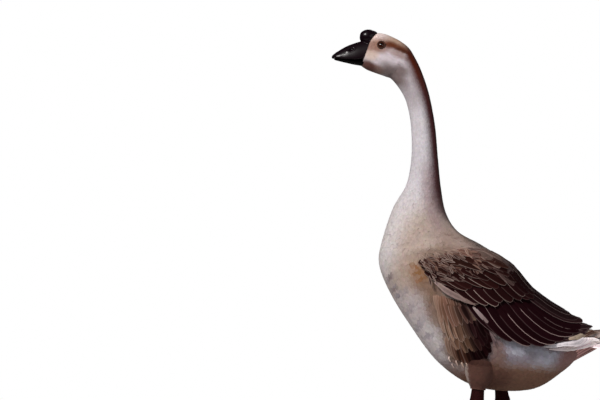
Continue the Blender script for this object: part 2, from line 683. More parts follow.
def featherPiece(name, lay, shape, colours, fringe, settings):
    # one closed vane per feather; colours and fringe are one value per feather
    stations = stationsOf(shape)
    rings = stations.shape[1] - 1
    centre, normal, across, count = lay["centre"], lay["normal"], lay["across"], len(lay["centre"])
    width = lay["halfWidth"] * vaneWidth(stations, settings["blunt"], settings.get("root", 0.45))
    top, under = vaneShapes[shape]["across"], vaneShapes[shape]["under"]
    ring, offsets = [], []
    for k, x in enumerate(top + under):
        thick = settings["thickness"] / 2 * (0 if abs(x) == 1 else -1 if k >= len(top) else 1)
        if x == 0:
            thick += settings["thickness"] * vaneShapes[shape]["shaft"]
        away = x * width
        height = thick + away * lay["lean"] - away**2 * settings["camber"]
        ring.append(centre + across * away[..., None] + normal * height[..., None])
        offsets.append(away)
    around = len(ring)
    points = np.concatenate([np.stack(ring, 2)[:, :-1].reshape(count, -1, 3), centre[:, -1:]], 1)
    none = np.zeros((count, 1))
    offsets = np.concatenate([np.stack(offsets, 2)[:, :-1].reshape(count, -1), none], 1)
    lengths = np.linalg.norm(np.diff(centre, axis=1), axis=-1)
    reach = np.concatenate([none, np.cumsum(lengths, 1)], 1)
    reached = np.concatenate([np.repeat(reach[:, :-1], around, 1), reach[:, -1:]], 1)
    fullWidth = np.concatenate([np.repeat(width[:, :-1], around, 1), none], 1)
    edge = np.minimum(fullWidth - np.abs(offsets), (reach[:, -1:] - reached) * settings["tipEdge"])
    loops, sizes = vaneFaces(rings, around)
    per = rings * around + 1
    allLoops = (loops[None, :] + np.arange(count)[:, None] * per).ravel()
    made = fillMesh(name, points.reshape(-1, 3), allLoops, np.tile(sizes, count))
    outward(made)
    made.data.set_sharp_from_angle(angle=math.radians(60))
    pointValues(made, "plumage", np.repeat(colours, per, 0))
    pointValues(made, "edge", edge.ravel())
    pointValues(made, "fringe", np.repeat(fringe, per))
    # the barbs start at another phase on each feather, within mm
    phase = 5
    pointMap(made, "barbs", offsets, reached + chance.random((count, 1)) * phase)
    # each feather has its own small patch where it is rooted in the skin's unwrap
    u = lay["u"] + (reached / np.maximum(reach[:, -1:], 1e-6) - 0.5) * settings["patch"]
    v = lay["v"] + offsets / np.maximum(lay["halfWidth"], 1e-6) * settings["patch"] / 2
    pointMap(made, "OFBake", u, v)
    return made


# The coat: small feathers on a staggered lattice, each lying towards the tail.
# Columns: place, mm between rows, mm between neighbours, length, half width.
coat = {
    "sizes": [
        (-6.0, 1.5, 1.7, 4.2, 1.15), (-3.0, 1.7, 1.9, 5.0, 1.3), (0.0, 2.2, 2.3, 6.6, 1.6),
        (3.0, 2.8, 2.7, 8.6, 1.9), (5.5, 3.3, 3.3, 10.5, 2.4), (7.0, 4.2, 4.6, 14.0, 3.6),
        (9.0, 5.2, 5.8, 18.0, 4.8), (12.0, 5.6, 6.2, 20.0, 5.2), (14.0, 5.0, 5.6, 19.0, 4.6),
        (16.0, 3.4, 4.0, 14.0, 3.4),
    ],
    "start": -5.86, "end": 15.6, "jitter": 0.22, "turnJitter": 5.0, "growth": (0.9, 1.12),
    "tipLift": (-0.05, 0.06), "liftPlaces": (-6, 0, 8), "liftShares": (0.3, 0.5, 1.0),
    "rootDepth": 0.2, "tilt": 3, "rowDegrees": 110.0, "uneven": 0.07,
    "thickness": 0.14, "camber": 0.012, "leaves": 2.2, "rake": 0.12, "blunt": 3.2, "patch": 0.003,
    "tipEdge": 0.8,
}
# Pieces of the coat: name, first place, last place, slot.
coatPieces = (
    ("coatHead", -9, 0.2, "head_feathers"), ("coatNeck", 0.2, 6.2, "neck_feathers"),
    ("coatBreast", 6.2, 9.9, "body_feathers"), ("coatBody", 9.9, 20, "body_feathers"),
)
# Pale edges of the dark feathers on the back: up to these degrees, growing between these places.
coatFringe = {"degrees": (38, 70), "places": (5, 8), "shares": (0.0, 0.22), "white": 0.6}
# No feather is rooted within clear mm of the eye, and ahead of it within up to 1.8 mm more.
eyePlace = {
    "x": -167.2, "z": 729.9, "radius": 8.6, "shows": 2.4, "clear": 7.0, "aheadReach": 3,
    "aheadShare": 0.6,
}


def joinColumns(tables):
    return {key: np.concatenate([table[key] for table in tables]) for key in columns}


def coatTable():
    sizeRows = np.array(coat["sizes"])
    tables, place, row = [], coat["start"], 0
    while place < coat["end"]:
        rowGap, gap, length, halfWidth = (
            float(np.interp(place, sizeRows[:, 0], column)) for column in sizeRows.T[1:])
        around = float(girth(np.array([place]))[0])
        n = max(6, int(round(around / gap / 2)))
        degrees = (np.arange(n) + (0.25 if row % 2 else 0.75)) / n * 180
        for side, _ in sides:
            rootDegrees = degrees + chance.uniform(-1, 1, n) * (180 / n) * coat["jitter"]
            rootDegrees = np.clip(rootDegrees, *offLines)
            perPlace = stretch(np.full(n, place), rootDegrees)
            rootPlace = place + chance.uniform(-1, 1, n) * coat["jitter"] * rowGap / perPlace
            lengths = length * chance.uniform(*coat["growth"], n)
            sway = np.radians(chance.uniform(-1, 1, n) * coat["turnJitter"])
            tipDegrees = rootDegrees + np.sin(sway) * lengths / (around / 360)
            halfWidths = halfWidth * chance.uniform(*coat["growth"], n)
            tipLift = chance.uniform(*coat["tipLift"], n)
            tables.append({
                "rootPlace": rootPlace, "rootDegrees": rootDegrees,
                "tipPlace": rootPlace + lengths / perPlace,
                "tipDegrees": np.clip(tipDegrees, *offLines), "halfWidth": halfWidths,
                "rootLift": -depthAt(rootPlace) - coat["rootDepth"],
                "tipLift": tipLift * np.interp(rootPlace, coat["liftPlaces"], coat["liftShares"]),
                "tilt": chance.uniform(-coat["tilt"], coat["tilt"], n), "side": np.full(n, float(side)),
            })
        place += rowGap / float(stretch(np.array([place]), np.array([coat["rowDegrees"]]))[0])
        row += 1
    return joinColumns(tables)


def pick(table, chosen):
    return {key: value[chosen] for key, value in table.items()}


def level(places):
    return np.zeros_like(places)


def uneven(colours, spread):
    # each feather a little lighter or darker, and a little off in hue
    hue = 0.03
    return colours * (1 + chance.uniform(-spread, spread, (len(colours), 1))) * (
        1 + chance.uniform(-hue, hue, colours.shape))


def buildCoat():
    table = coatTable()
    points = rim(table["rootPlace"], table["rootDegrees"], table["side"])
    away = points[:, 0] - eyePlace["x"]
    ahead = np.clip(away, -eyePlace["aheadReach"], 0)
    clear = eyePlace["clear"] - ahead * eyePlace["aheadShare"]
    table = pick(table, np.hypot(away, points[:, 2] - eyePlace["z"]) > clear)
    middle = (table["rootPlace"] + table["tipPlace"]) / 2
    where = rim(middle, table["rootDegrees"], table["side"])
    colours = uneven(plumage(middle, table["rootDegrees"], where), coat["uneven"])
    grey = 1 - colours.mean(1) / coatFringe["white"]
    onBack = 1 - smooth(*coatFringe["degrees"], table["rootDegrees"])
    fringe = np.clip(grey, 0, 1) * np.interp(middle, coatFringe["places"], coatFringe["shares"]) * onBack
    for name, low, high, slot in coatPieces:
        chosen = (table["rootPlace"] >= low) & (table["rootPlace"] < high)
        lay = layFeathers(pick(table, chosen), "small", {**coat, "rise": level})
        made = featherPiece(name, lay, "small", colours[chosen], fringe[chosen], coat)
        finishPiece(made, contourPaint, slot)


buildCoat()
print("coat built")


# The wings: the same tiers as on the solids, with more feathers in each.
# Rows: root place, root degrees, tip place, tip degrees, half width, lift. Rough is how far feathers
# stray, and sweep by how many degrees their tips hang; the pale edges' strengths repeat along a tier.
wingTiers = {
    "primaries": {
        "count": 8, "tilt": 8, "rough": 0.2, "shade": "primary", "fringe": (0.2,), "rows": [
            (11.3, 68, 13.0, 58, 8.0, 3.4), (11.5, 52, 14.3, 50, 6.4, 4.4),
            (11.6, 34, 15.25, 46, 5.6, 5.6)]},
    "secondaries": {
        "count": 9, "tilt": 9, "rough": 0.2, "shade": "secondary",
        "fringe": (0.25, 0.15, 0.85, 0.15, 1.0, 0.2, 0.8, 0.15, 0.3), "rows": [
            (9.9, 90, 11.0, 85, 10.5, 4.8), (10.1, 72, 12.2, 72.5, 12.0, 5.4),
            (10.2, 54, 12.95, 57, 12.0, 6.0), (10.3, 38, 13.65, 38, 12.0, 6.2)]},
    "tertials": {
        "count": 4, "tilt": 8, "rough": 0.3, "shade": "tertial", "fringe": (0.35, 0.15), "rows": [
            (9.7, 34, 13.6, 27, 12.5, 7.4), (9.5, 18, 12.2, 15, 12.0, 8.8)]},
    "greaterCoverts": {
        "count": 10, "tilt": 9, "rough": 0.35, "sweep": 4, "shade": "greater",
        "fringe": (1.0, 0.9, 0.5, 0.8, 0.9, 0.3, 0.5, 0.15, 0.1, 0.1), "rows": [
            (8.9, 103, 9.75, 95, 9.5, 7.4), (9.2, 84, 10.15, 81, 10.5, 8.0),
            (9.4, 58, 10.3, 59, 11.5, 8.6), (9.5, 38, 10.6, 36, 12.5, 9.2)]},
    "medianCoverts": {
        "count": 10, "tilt": 10, "rough": 0.6, "sweep": 9, "shade": "median",
        "fringe": (0.65, 0.1, 0.5, 0.05, 0.3), "rows": [
            (8.6, 104, 9.35, 101, 9.0, 9.0), (8.8, 78, 9.65, 77, 10.5, 9.8),
            (8.9, 48, 9.85, 46, 11.5, 10.4)]},
    "rowThreeCoverts": {
        "count": 11, "tilt": 11, "rough": 0.9, "sweep": 12, "shade": "median",
        "fringe": (0.2, 0.05, 0.35), "rows": [
            (8.42, 104, 9.05, 102, 8.5, 9.8), (8.55, 78, 9.3, 77, 9.5, 10.6),
            (8.6, 50, 9.5, 48, 10.5, 11.2)]},
    "rowTwoCoverts": {
        "count": 12, "tilt": 13, "rough": 1.1, "sweep": 14, "rootLift": -4.0, "shade": "lesser",
        "fringe": (0.4, 0.1, 0.2), "rows": [
            (8.22, 104, 8.75, 102, 7.5, 9.6), (8.25, 78, 8.95, 77, 8.5, 10.8),
            (8.3, 52, 9.15, 50, 9.5, 11.4)]},
    "rowOneCoverts": {
        "count": 12, "tilt": 14, "rough": 1.2, "sweep": 14, "rootLift": -7.0, "shade": "shoulder",
        "fringe": (0.25, 0.0), "rows": [
            (8.12, 102, 8.5, 103, 7.5, 7.4), (8.10, 78, 8.65, 78, 8.5, 9.0),
            (8.12, 56, 8.85, 53, 9.5, 10.2)]},
    "longScapulars": {
        "count": 5, "tilt": 7, "rough": 0.4, "shade": "greater", "fringe": (0.5, 0.1, 0.1), "rows": [
            (8.9, 44, 10.4, 40, 12.5, 10.6), (9.0, 11, 10.5, 12, 10.0, 7.6)]},
    "middleScapulars": {
        "count": 5, "tilt": 7, "rough": 0.6, "shade": "scapular",
        "fringe": (0.15, 0.5, 0.1), "rows": [
            (8.6, 47, 9.9, 42, 11.5, 11.2), (8.8, 12, 10.1, 12, 9.5, 6.8)]},
    "shortScapulars": {
        "count": 5, "tilt": 7, "rough": 0.7, "shade": "mantle", "fringe": (0.5, 0.25), "rows": [
            (8.2, 50, 9.3, 45, 11.0, 11.2), (8.55, 15, 9.6, 13, 9.5, 4.0)]},
    "mantleFeathers": {
        "count": 6, "tilt": 6, "rough": 0.8, "rootLift": -6.0, "shade": "mantle",
        "fringe": (0.3, 0.1), "rows": [
            (7.85, 60, 8.75, 55, 10.0, 8.4), (8.2, 16, 9.2, 14, 9.0, 2.4)]},
}
flightTiers = ("primaries", "secondaries", "tertials")
# How far one unit of rough moves each column of a row, and what it adds to the tilt.
tierStray = {"row": (0.1, 1.5, 0.16, 4.0, 0.9, 0.8), "tilt": 4, "sweepAtRoot": 0.35}
wingShades = {
    "primary": (0.027, 0.0125, 0.0140), "secondary": (0.0115, 0.0024, 0.0037),
    "tertial": (0.021, 0.0078, 0.0088), "greater": (0.0165, 0.0042, 0.0046),
    "median": (0.018, 0.0048, 0.0043), "lesser": (0.030, 0.0100, 0.0074),
    "shoulder": (0.110, 0.055, 0.044), "scapular": (0.072, 0.043, 0.040),
    "mantle": (0.135, 0.085, 0.070),
}
wingRise = {"places": (10.3, 11.0, 12.6, 14.0, 15.9), "heights": (0, 4, 13, 24, 18)}
wingVane = {
    "thickness": 0.8, "camber": 0.006, "leaves": 3.0, "rake": 0.0, "blunt": 3.0, "patch": 0.003,
    "rootLift": 2.0, "tipEdge": 0.8,
}
# Feathers near the back are darker, down to this share; and each differs a little from the next.
wingLook = {
    "backShade": 0.5, "backDegrees": (8, 48), "uneven": 0.1, "unevenByRough": 0.18, "edges": (0.7, 1.0),
    "flightTipEdge": 2.5,
}


def riseAt(places):
    return np.interp(places, wingRise["places"], wingRise["heights"])


def tierTable(tier, side):
    # the tier's feathers between its rows
    n, rough, sweep = tier["count"], tier["rough"], tier.get("sweep", 0)
    rows = rowsAt(tier["rows"], (len(tier["rows"]) - 1) * np.arange(n) / (n - 1))
    rows = rows + chance.uniform(-1, 1, (n, 6)) * np.array(tierStray["row"]) * rough
    rows[:, 1] += sweep * tierStray["sweepAtRoot"]
    rows[:, 3] -= sweep
    table = dict(zip((*columns[:5], "tipLift"), rows.T))
    table["rootLift"] = np.full(n, tier.get("rootLift", wingVane["rootLift"]))
    table["tilt"] = tier["tilt"] + chance.uniform(-1, 1, n) * (1 + tierStray["tilt"] * rough)
    table["side"] = np.full(n, float(side))
    return table


# Small disordered feathers where the wing's front lies in the breast: places and degrees to lie between.
ruffles = {
    "count": 130, "places": (7.88, 9.0), "degrees": (56, 106), "length": (10, 19),
    "halfWidth": (1.3, 2.7), "lift": (10.5, 13.5), "tilt": 24, "sway": 40, "upward": 20, "rootSunk": 4.0,
    "frontPlaces": (7.7, 7.95, 8.1), "frontSunk": (9.0, 4.0, 0.0), "fringe": (0.0, 0.65),
}
# Their colours: pale towards the front and the back line, dark behind and below, and the body's own,
# shaded, at the very front.
ruffleTints = {
    "pale": (0.125, 0.068, 0.050), "dark": (0.026, 0.0085, 0.0070), "chance": (-0.2, 1.2),
    "frontPlace": 8.2, "perPlace": 0.6, "more": 0.45, "less": 0.75, "lessDegrees": (50, 86), "most": 1.2,
    "bodyPlaces": (7.8, 8.15), "bodyShade": 0.74,
}
ruffleVane = {**wingVane, "thickness": 0.35, "blunt": 1.7, "root": 0.15}


def ruffleTable(side):
    n = ruffles["count"]
    place, degrees, length, half, lift = (
        chance.uniform(*ruffles[key], n) for key in ("places", "degrees", "length", "halfWidth", "lift"))
    turn = np.radians(chance.uniform(-1, 1, n) * ruffles["sway"] - ruffles["upward"])
    lift = lift - np.interp(place, ruffles["frontPlaces"], ruffles["frontSunk"])
    return {
        "rootPlace": place, "rootDegrees": degrees,
        "tipPlace": place + length * np.cos(turn) / stretch(place, degrees),
        "tipDegrees": degrees + length * np.sin(turn) / (girth(place) / 360), "halfWidth": half,
        "rootLift": lift - ruffles["rootSunk"], "tipLift": lift,
        "tilt": chance.uniform(-1, 1, n) * ruffles["tilt"], "side": np.full(n, float(side)),
    }


def ruffleColours(table):
    look, place, degrees = ruffleTints, table["rootPlace"], table["rootDegrees"]
    share = chance.uniform(*look["chance"], len(place)) - (place - look["frontPlace"]) * look["perPlace"]
    share = np.clip(share, 0, 1) + look["more"] - look["less"] * smooth(*look["lessDegrees"], degrees)
    colour = mixed(look["dark"], look["pale"], np.clip(share, 0, look["most"])[:, None])
    body = plumage(place, degrees, rim(place, degrees, table["side"])) * look["bodyShade"]
    return mixed(body, colour, smooth(*look["bodyPlaces"], place)[:, None])


def buildWing(side, word):
    covertTiers = [name for name in wingTiers if name not in flightTiers]
    for piece, names, paint, tipEdge, nodes in (
        ("wingFlight", flightTiers, flightPaint, wingLook["flightTipEdge"], [f"wing_{word}"]),
        ("wingCoverts", covertTiers, covertPaint, wingVane["tipEdge"], []),
    ):
        tables, colours, fringe = [], [], []
        for name in names:
            tier = wingTiers[name]
            table = tierTable(tier, side)
            n = len(table["side"])
            tables.append(table)
            toBack = smooth(*wingLook["backDegrees"], table["rootDegrees"])[:, None]
            toBack = wingLook["backShade"] + (1 - wingLook["backShade"]) * toBack
            spread = wingLook["uneven"] + wingLook["unevenByRough"] * tier["rough"]
            colours.append(uneven(np.tile(wingShades[tier["shade"]], (n, 1)), spread) * toBack)
            fringe.append(np.resize(tier["fringe"], n) * chance.uniform(*wingLook["edges"], n))
        lay = layFeathers(joinColumns(tables), "large", {**wingVane, "rise": riseAt})
        made = featherPiece(
            f"{piece}_{word}", lay, "large", np.concatenate(colours), np.concatenate(fringe),
            {**wingVane, "tipEdge": tipEdge})
        finishPiece(made, paint, "wing_feathers", *nodes)


def buildRuffles(side, word):
    table = ruffleTable(side)
    lay = layFeathers(table, "large", {**wingVane, "rise": riseAt})
    colours = ruffleColours(table)
    fringe = chance.uniform(*ruffles["fringe"], ruffles["count"])
    made = featherPiece(f"shoulderRuffles_{word}", lay, "large", colours, fringe, ruffleVane)
    finishPiece(made, covertPaint, "wing_feathers")


for side, word in sides:
    buildWing(side, word)
    buildRuffles(side, word)
print("wings built")


# The long flank feathers that hang over the thigh, then the pale lines along the wing's lower edge, and
# the sides of the tail's root. Rows as for the wings, front to rear; each tier has a front and a rear
# colour, and towards is where along it the one turns into the other.
flankTiers = {
    "low": {
        "count": 24, "towards": (0.2, 0.65), "front": (0.050, 0.0185, 0.0115),
        "back": (0.007, 0.0016, 0.002), "fringe": 0.5, "rows": [
            (10.42, 125.6, 10.92, 138.5, 4.4, 1.6), (10.53, 118.8, 11.22, 136.4, 4.8, 2.2),
            (10.61, 110.0, 11.41, 127.6, 4.8, 2.6), (10.60, 100.4, 11.43, 116.5, 6.2, 2.6),
            (10.50, 93.1, 11.17, 98.3, 6.0, 2.2)]},
    "middle": {
        "count": 24, "towards": (0.26, 0.76), "front": (0.120, 0.064, 0.041),
        "back": (0.009, 0.0024, 0.003), "fringe": 0.4, "rows": [
            (10.04, 117.2, 10.66, 128.4, 4.0, 1.2), (10.12, 111.2, 10.87, 125.6, 4.4, 3.2),
            (10.22, 103.6, 11.02, 117.6, 4.4, 3.4), (10.27, 96.8, 11.10, 107.6, 5.4, 3.4),
            (10.25, 90.5, 10.93, 93.5, 5.4, 3.2)]},
    "upper": {
        "count": 22, "towards": (0.42, 0.96), "front": (0.145, 0.082, 0.055),
        "back": (0.013, 0.0045, 0.005), "fringe": 0.7, "rows": [
            (9.65, 113.2, 10.45, 127.2, 4.0, 1.0), (9.72, 107.1, 10.6, 124.8, 4.4, 4.2),
            (9.84, 100.9, 10.75, 114.7, 4.4, 4.4), (9.95, 94.3, 10.75, 102.6, 4.0, 4.2)]},
    "top": {
        "count": 19, "towards": (0.48, 1.0), "front": (0.110, 0.056, 0.038),
        "back": (0.024, 0.010, 0.009), "fringe": 0.5, "rows": [
            (9.29, 111.5, 10.13, 122.1, 4.0, 1.0), (9.42, 104.9, 10.30, 117.2, 4.2, 4.8),
            (9.57, 99.1, 10.42, 108.1, 4.2, 5.2), (9.75, 94.1, 10.40, 97.1, 4.0, 5.0)]},
    "rearLine": {
        "count": 7, "front": (0.21, 0.155, 0.155), "back": (0.10, 0.066, 0.066),
        "fringe": 0.0, "rows": [
            (9.91, 88.7, 10.50, 88.5, 2.2, 6.6), (10.22, 87.0, 10.86, 87.2, 2.2, 7.6),
            (10.60, 87.6, 11.27, 96.9, 1.6, 4.4)]},
    "wingLine": {
        "count": 9, "front": (0.25, 0.18, 0.165), "back": (0.12, 0.078, 0.070),
        "fringe": 0.0, "rows": [
            (8.95, 105.0, 9.36, 102.0, 3.6, 9.2), (9.18, 103.2, 9.64, 97.2, 4.8, 9.6),
            (9.40, 100.0, 9.86, 90.6, 4.2, 9.8), (9.66, 92.5, 10.05, 86.6, 2.0, 9.6)]},
    "flecks": {
        "count": 5, "front": (0.50, 0.38, 0.34), "back": (0.34, 0.24, 0.19), "fringe": 0.0, "rows": [
            (10.89, 142.0, 11.04, 146.0, 1.3, 2.6), (11.06, 147.0, 11.22, 150.6, 1.1, 2.0),
            (11.02, 137.6, 11.19, 141.8, 1.6, 3.4), (11.10, 133.6, 11.31, 139.4, 1.6, 2.6),
            (11.15, 129.6, 11.42, 136.0, 1.3, 2.8)]},
    "tailDark": {
        "count": 3, "front": (0.05, 0.022, 0.016), "back": (0.09, 0.055, 0.045),
        "fringe": 0.0, "rows": [
            (13.3, 54.0, 15.7, 63.0, 1.4, 27.6), (13.5, 60.0, 15.5, 70.0, 1.0, 27.4)]},
    "tailTan": {
        "count": 5, "front": (0.30, 0.235, 0.175), "back": (0.16, 0.105, 0.085),
        "fringe": 0.0, "rows": [
            (12.80, 62.0, 13.7, 52.0, 3.0, 26.5), (13.0, 58.0, 14.8, 57.0, 3.4, 27.5),
            (13.2, 55.0, 15.85, 66.0, 3.2, 24.5)]},
    "tailSide": {
        "count": 9, "front": (0.56, 0.50, 0.52), "back": (0.80, 0.70, 0.71), "fringe": 0.0, "rows": [
            (12.40, 75.0, 13.2, 62.0, 3.6, 15.0), (12.60, 70.0, 13.9, 61.0, 4.0, 27.5),
            (12.85, 66.5, 14.9, 73.5, 4.0, 27.0), (13.1, 65.0, 15.9, 84.5, 4.0, 25.0)]},
    "tailSideLow": {
        "count": 6, "front": (0.60, 0.52, 0.53), "back": (0.76, 0.67, 0.67), "fringe": 0.0, "rows": [
            (12.6, 76.5, 13.9, 70.5, 3.4, 14.0), (12.95, 72.5, 15.0, 82.0, 4.0, 20.0),
            (13.4, 72.0, 15.9, 97.0, 5.0, 20.0)]},
}


# Tiers with a fringe are loose plumes: they stray, take the body's colour at their front and run in
# light and dark streaks. The others are lines.
flankLook = {
    "tilt": 5, "looseRough": 0.45, "lineRough": 0.1, "uneven": 0.10, "bodyBlend": (0.0, 0.3),
    "streak": 0.62, "streakWaves": (61, 23), "streakShift": 0.7, "edges": (0.2, 1.0), "edgeFall": 0.93,
}
flankVane = {**wingVane, "thickness": 0.25, "camber": 0.016, "blunt": 2.2, "root": 0.08}


def buildFlank(side, word):
    tables, colours, fringe, look = [], [], [], flankLook
    for tier in flankTiers.values():
        loose = tier["fringe"] > 0
        rough = look["looseRough"] if loose else look["lineRough"]
        table = tierTable({"tilt": look["tilt"], "rough": rough, **tier}, side)
        n = len(table["side"])
        tables.append(table)
        share = np.linspace(0, 1, n)[:, None]
        towards = smooth(*tier["towards"], share) if loose else share
        colour = uneven(mixed(tier["front"], tier["back"], towards), look["uneven"])
        if loose:
            fast, slow = look["streakWaves"]
            wave = np.sin(fast * share + look["streakShift"]) * np.cos(slow * share)
            near = rim(table["rootPlace"], table["rootDegrees"], float(side))
            body = plumage(table["rootPlace"], table["rootDegrees"], near)
            colour = colour * (1 + look["streak"] * wave)
            colour = mixed(body, colour, smooth(*look["bodyBlend"], share))
        colours.append(colour)
        strength = chance.uniform(*look["edges"], n) * (1 - look["edgeFall"] * towards[:, 0])
        fringe.append(tier["fringe"] * strength)
    table = joinColumns(tables)
    table["rootLift"] = -depthAt(table["rootPlace"])
    lay = layFeathers(table, "large", {**wingVane, "rise": level})
    made = featherPiece(
        f"flankPlumes_{word}", lay, "large", np.concatenate(colours), np.concatenate(fringe), flankVane)
    finishPiece(made, covertPaint, "body_feathers")


for side, word in sides:
    buildFlank(side, word)
print("flanks built")


# The tail: a fan of feathers with its upper and under coverts. Root and tip: x and z of the middle
# feather, then how far each step from it lies to the side, and its square ahead and below. Steps is half
# of their number; faces is 1 for feathers that face up and -1 for those that face down.
tailTiers = {
    "fan": {
        "steps": 6.0, "count": 16, "halfWidth": 10.0, "tilt": 9, "fringe": 0.18, "faces": 1,
        "root": (188, 205, 2.0, 0.0, 0.2), "tip": (255, 216, 8.2, 0.6, 0.66),
        "tint": (0.095, 0.058, 0.05), "edgeTint": (0.8, 0.72, 0.72),
    },
    "upperCoverts": {
        "steps": 2.2, "count": 9, "halfWidth": 8.0, "tilt": 6, "fringe": 0.2, "faces": 1,
        "root": (176, 214, 6.0, 0.6, 1.6), "tip": (236, 218.5, 10.0, 1.2, 1.9),
        "tint": (0.15, 0.098, 0.08), "edgeTint": (0.4, 0.32, 0.29),
    },
    "upperRow": {
        "steps": 2.2, "count": 9, "halfWidth": 8.0, "tilt": 6, "fringe": 0.2, "faces": 1,
        "root": (166, 219, 7.0, 0.6, 2.2), "tip": (207, 217, 10.5, 1.0, 2.2),
        "tint": (0.15, 0.105, 0.08), "edgeTint": (0.5, 0.42, 0.39),
    },
    "underCoverts": {
        "steps": 2.6, "count": 10, "halfWidth": 8.0, "tilt": 5, "fringe": 0.0, "faces": -1,
        "root": (184, 172, 8.5, -0.4, -2.1), "tip": (235, 198, 9.0, 2.2, -1.2),
        "tint": (0.75, 0.6, 0.58), "edgeTint": (0.48, 0.31, 0.29),
    },
    "underRow": {
        "steps": 2.6, "count": 10, "halfWidth": 8.0, "tilt": 5, "fringe": 0.0, "faces": -1,
        "root": (172, 158, 9.5, -0.4, -2.3), "tip": (222, 185, 9.0, 1.8, -1.9),
        "tint": (0.6, 0.36, 0.34), "edgeTint": (0.55, 0.3, 0.28),
    },
}
# Where the tail lies in the coat's unwrap, how far feathers stray in steps, and how their colour runs
# from the middle to the edge.
tailLook = {
    "place": 15.2, "perHeight": 0.0006, "shift": 0.12, "stray": 0.08, "edgePower": 1.4, "uneven": 0.05,
}


def layTail(tier):
    place = np.linspace(-tier["steps"], tier["steps"], tier["count"])
    place = place + chance.uniform(-tailLook["stray"], tailLook["stray"], len(place))
    root, tip = (
        np.stack([x - back * place**2, spread * place, z - drop * place**2], -1)
        for x, z, spread, back, drop in (tier["root"], tier["tip"]))
    _, tipHeight, tipSpread, _, tipDrop = tier["tip"]
    stations = stationsOf("large")[0]
    centre = root[:, None] + (tip - root)[:, None] * stations[None, :, None]
    forward = unit(tip - root)
    sideways = unit(np.cross([0, 0, 1], forward))
    slope = np.arctan2(-2 * tipDrop * place, np.full(len(place), tipSpread))
    across = unit(sideways * np.cos(slope)[:, None] + np.array([0, 0, 1]) * np.sin(slope)[:, None])
    normal = unit(np.cross(forward, across))
    normal = normal * np.where(normal[:, 2:] < 0, -1, 1) * tier["faces"]
    out = np.clip(stations * wingVane["leaves"], 0, 1)
    lean = np.tan(np.radians(tier["tilt"])) * np.sign(place)[:, None] * out[None, :]
    n, step = len(place), place[:, None]
    u, v = unwrap(
        np.full((n, 1), tailLook["place"]), 90 * np.abs(step) / tier["steps"], -np.sign(step + 1e-6))
    return {
        "centre": centre, "normal": np.repeat(normal[:, None], len(stations), 1),
        "across": np.repeat(across[:, None], len(stations), 1), "lean": lean,
        "halfWidth": np.full((n, 1), tier["halfWidth"]), "u": u,
        "v": v + tipHeight * tailLook["perHeight"] - tailLook["shift"],
    }


def buildTail():
    lays = [layTail(tier) for tier in tailTiers.values()]
    lay = {key: np.concatenate([lay[key] for lay in lays]) for key in lays[0]}
    colours, fringe = [], []
    for tier in tailTiers.values():
        share = np.abs(np.linspace(-1, 1, tier["count"]))[:, None] ** tailLook["edgePower"]
        colours.append(uneven(mixed(tier["tint"], tier["edgeTint"], share), tailLook["uneven"]))
        fringe.append(np.full(tier["count"], tier["fringe"]))
    made = featherPiece(
        "tailFeathers", lay, "large", np.concatenate(colours), np.concatenate(fringe), wingVane)
    finishPiece(made, covertPaint, "tail_feathers", "tail")


buildTail()
print("tail built")


# Bill and knob: smooth lofts, with the nail and the nostrils pushed into the upper one.
# Rows as for the body; blend gives the x between which the remeshed knob takes over from the loft.
bill = {
    "upper": [
        (-183.0, 742.0, -197.2, 702.0, 16.5, 0.62), (-203.0, 737.5, -213.0, 701.4, 16.2, 0.72),
        (-219.0, 732.6, -226.0, 702.6, 14.8, 0.76), (-232.0, 727.0, -237.0, 703.8, 13.0, 0.72),
        (-244.0, 719.8, -247.0, 705.4, 10.8, 0.56), (-252.0, 713.8, -253.4, 706.2, 7.0, 0.26),
        (-255.6, 710.2, -255.7, 707.2, 2.2, 0.0),
    ],
    "lower": [
        (-196.4, 701.7, -199.8, 692.8, 14.7, -0.50), (-213.2, 701.2, -215.6, 695.4, 14.6, -0.60),
        (-226.0, 702.4, -228.0, 698.2, 13.2, -0.60), (-237.0, 703.6, -238.6, 700.6, 11.2, -0.60),
        (-246.6, 705.1, -247.6, 703.0, 8.4, -0.40), (-251.3, 705.8, -251.5, 704.4, 2.2, 0.0),
    ],
    "rings": 160, "segments": 144, "voxel": 0.42, "smoothing": 14, "blend": (-214.0, -204.0),
    "evening": 16,
    "nostril": {
        "x": -221.0, "z": 721.5, "halfLength": 5.8, "halfHeight": 2.2, "depth": 3.2, "slope": 22.0,
        "wallFrom": 5, "pitEdge": (0.55, 1.05), "lipHeight": 0.35, "lipAt": 1.35, "lipWidth": 0.28},
    "nail": {"from": (-247.5, -244.5), "height": 0.5, "above": 709},
    "knob": {
        "x": -191.0, "z": 746.6, "length": 15.0, "height": 12.5, "width": 12.6, "tilt": 14.0,
        "lumps": 0.03},
    # skin that joins the knob to the bill and the forehead: x, z, half length, half width, half height,
    # tilt
    "saddles": (
        (-190.0, 738.0, 8.5, 10.8, 10.0, 0.0), (-183.5, 748.5, 8.6, 10.5, 6.0, 24.0),
        (-181.5, 752.6, 8.6, 8.6, 4.4, -12.0)),
}


def loftPoints(rows, rings, segments):
    row = rowsAt(rows, np.linspace(0, len(rows) - 1, rings))[:, None, :]
    angle = np.linspace(0, 2 * np.pi, segments, endpoint=False)[None, :]
    return sectionPoints(row, angle).reshape(-1, 3)


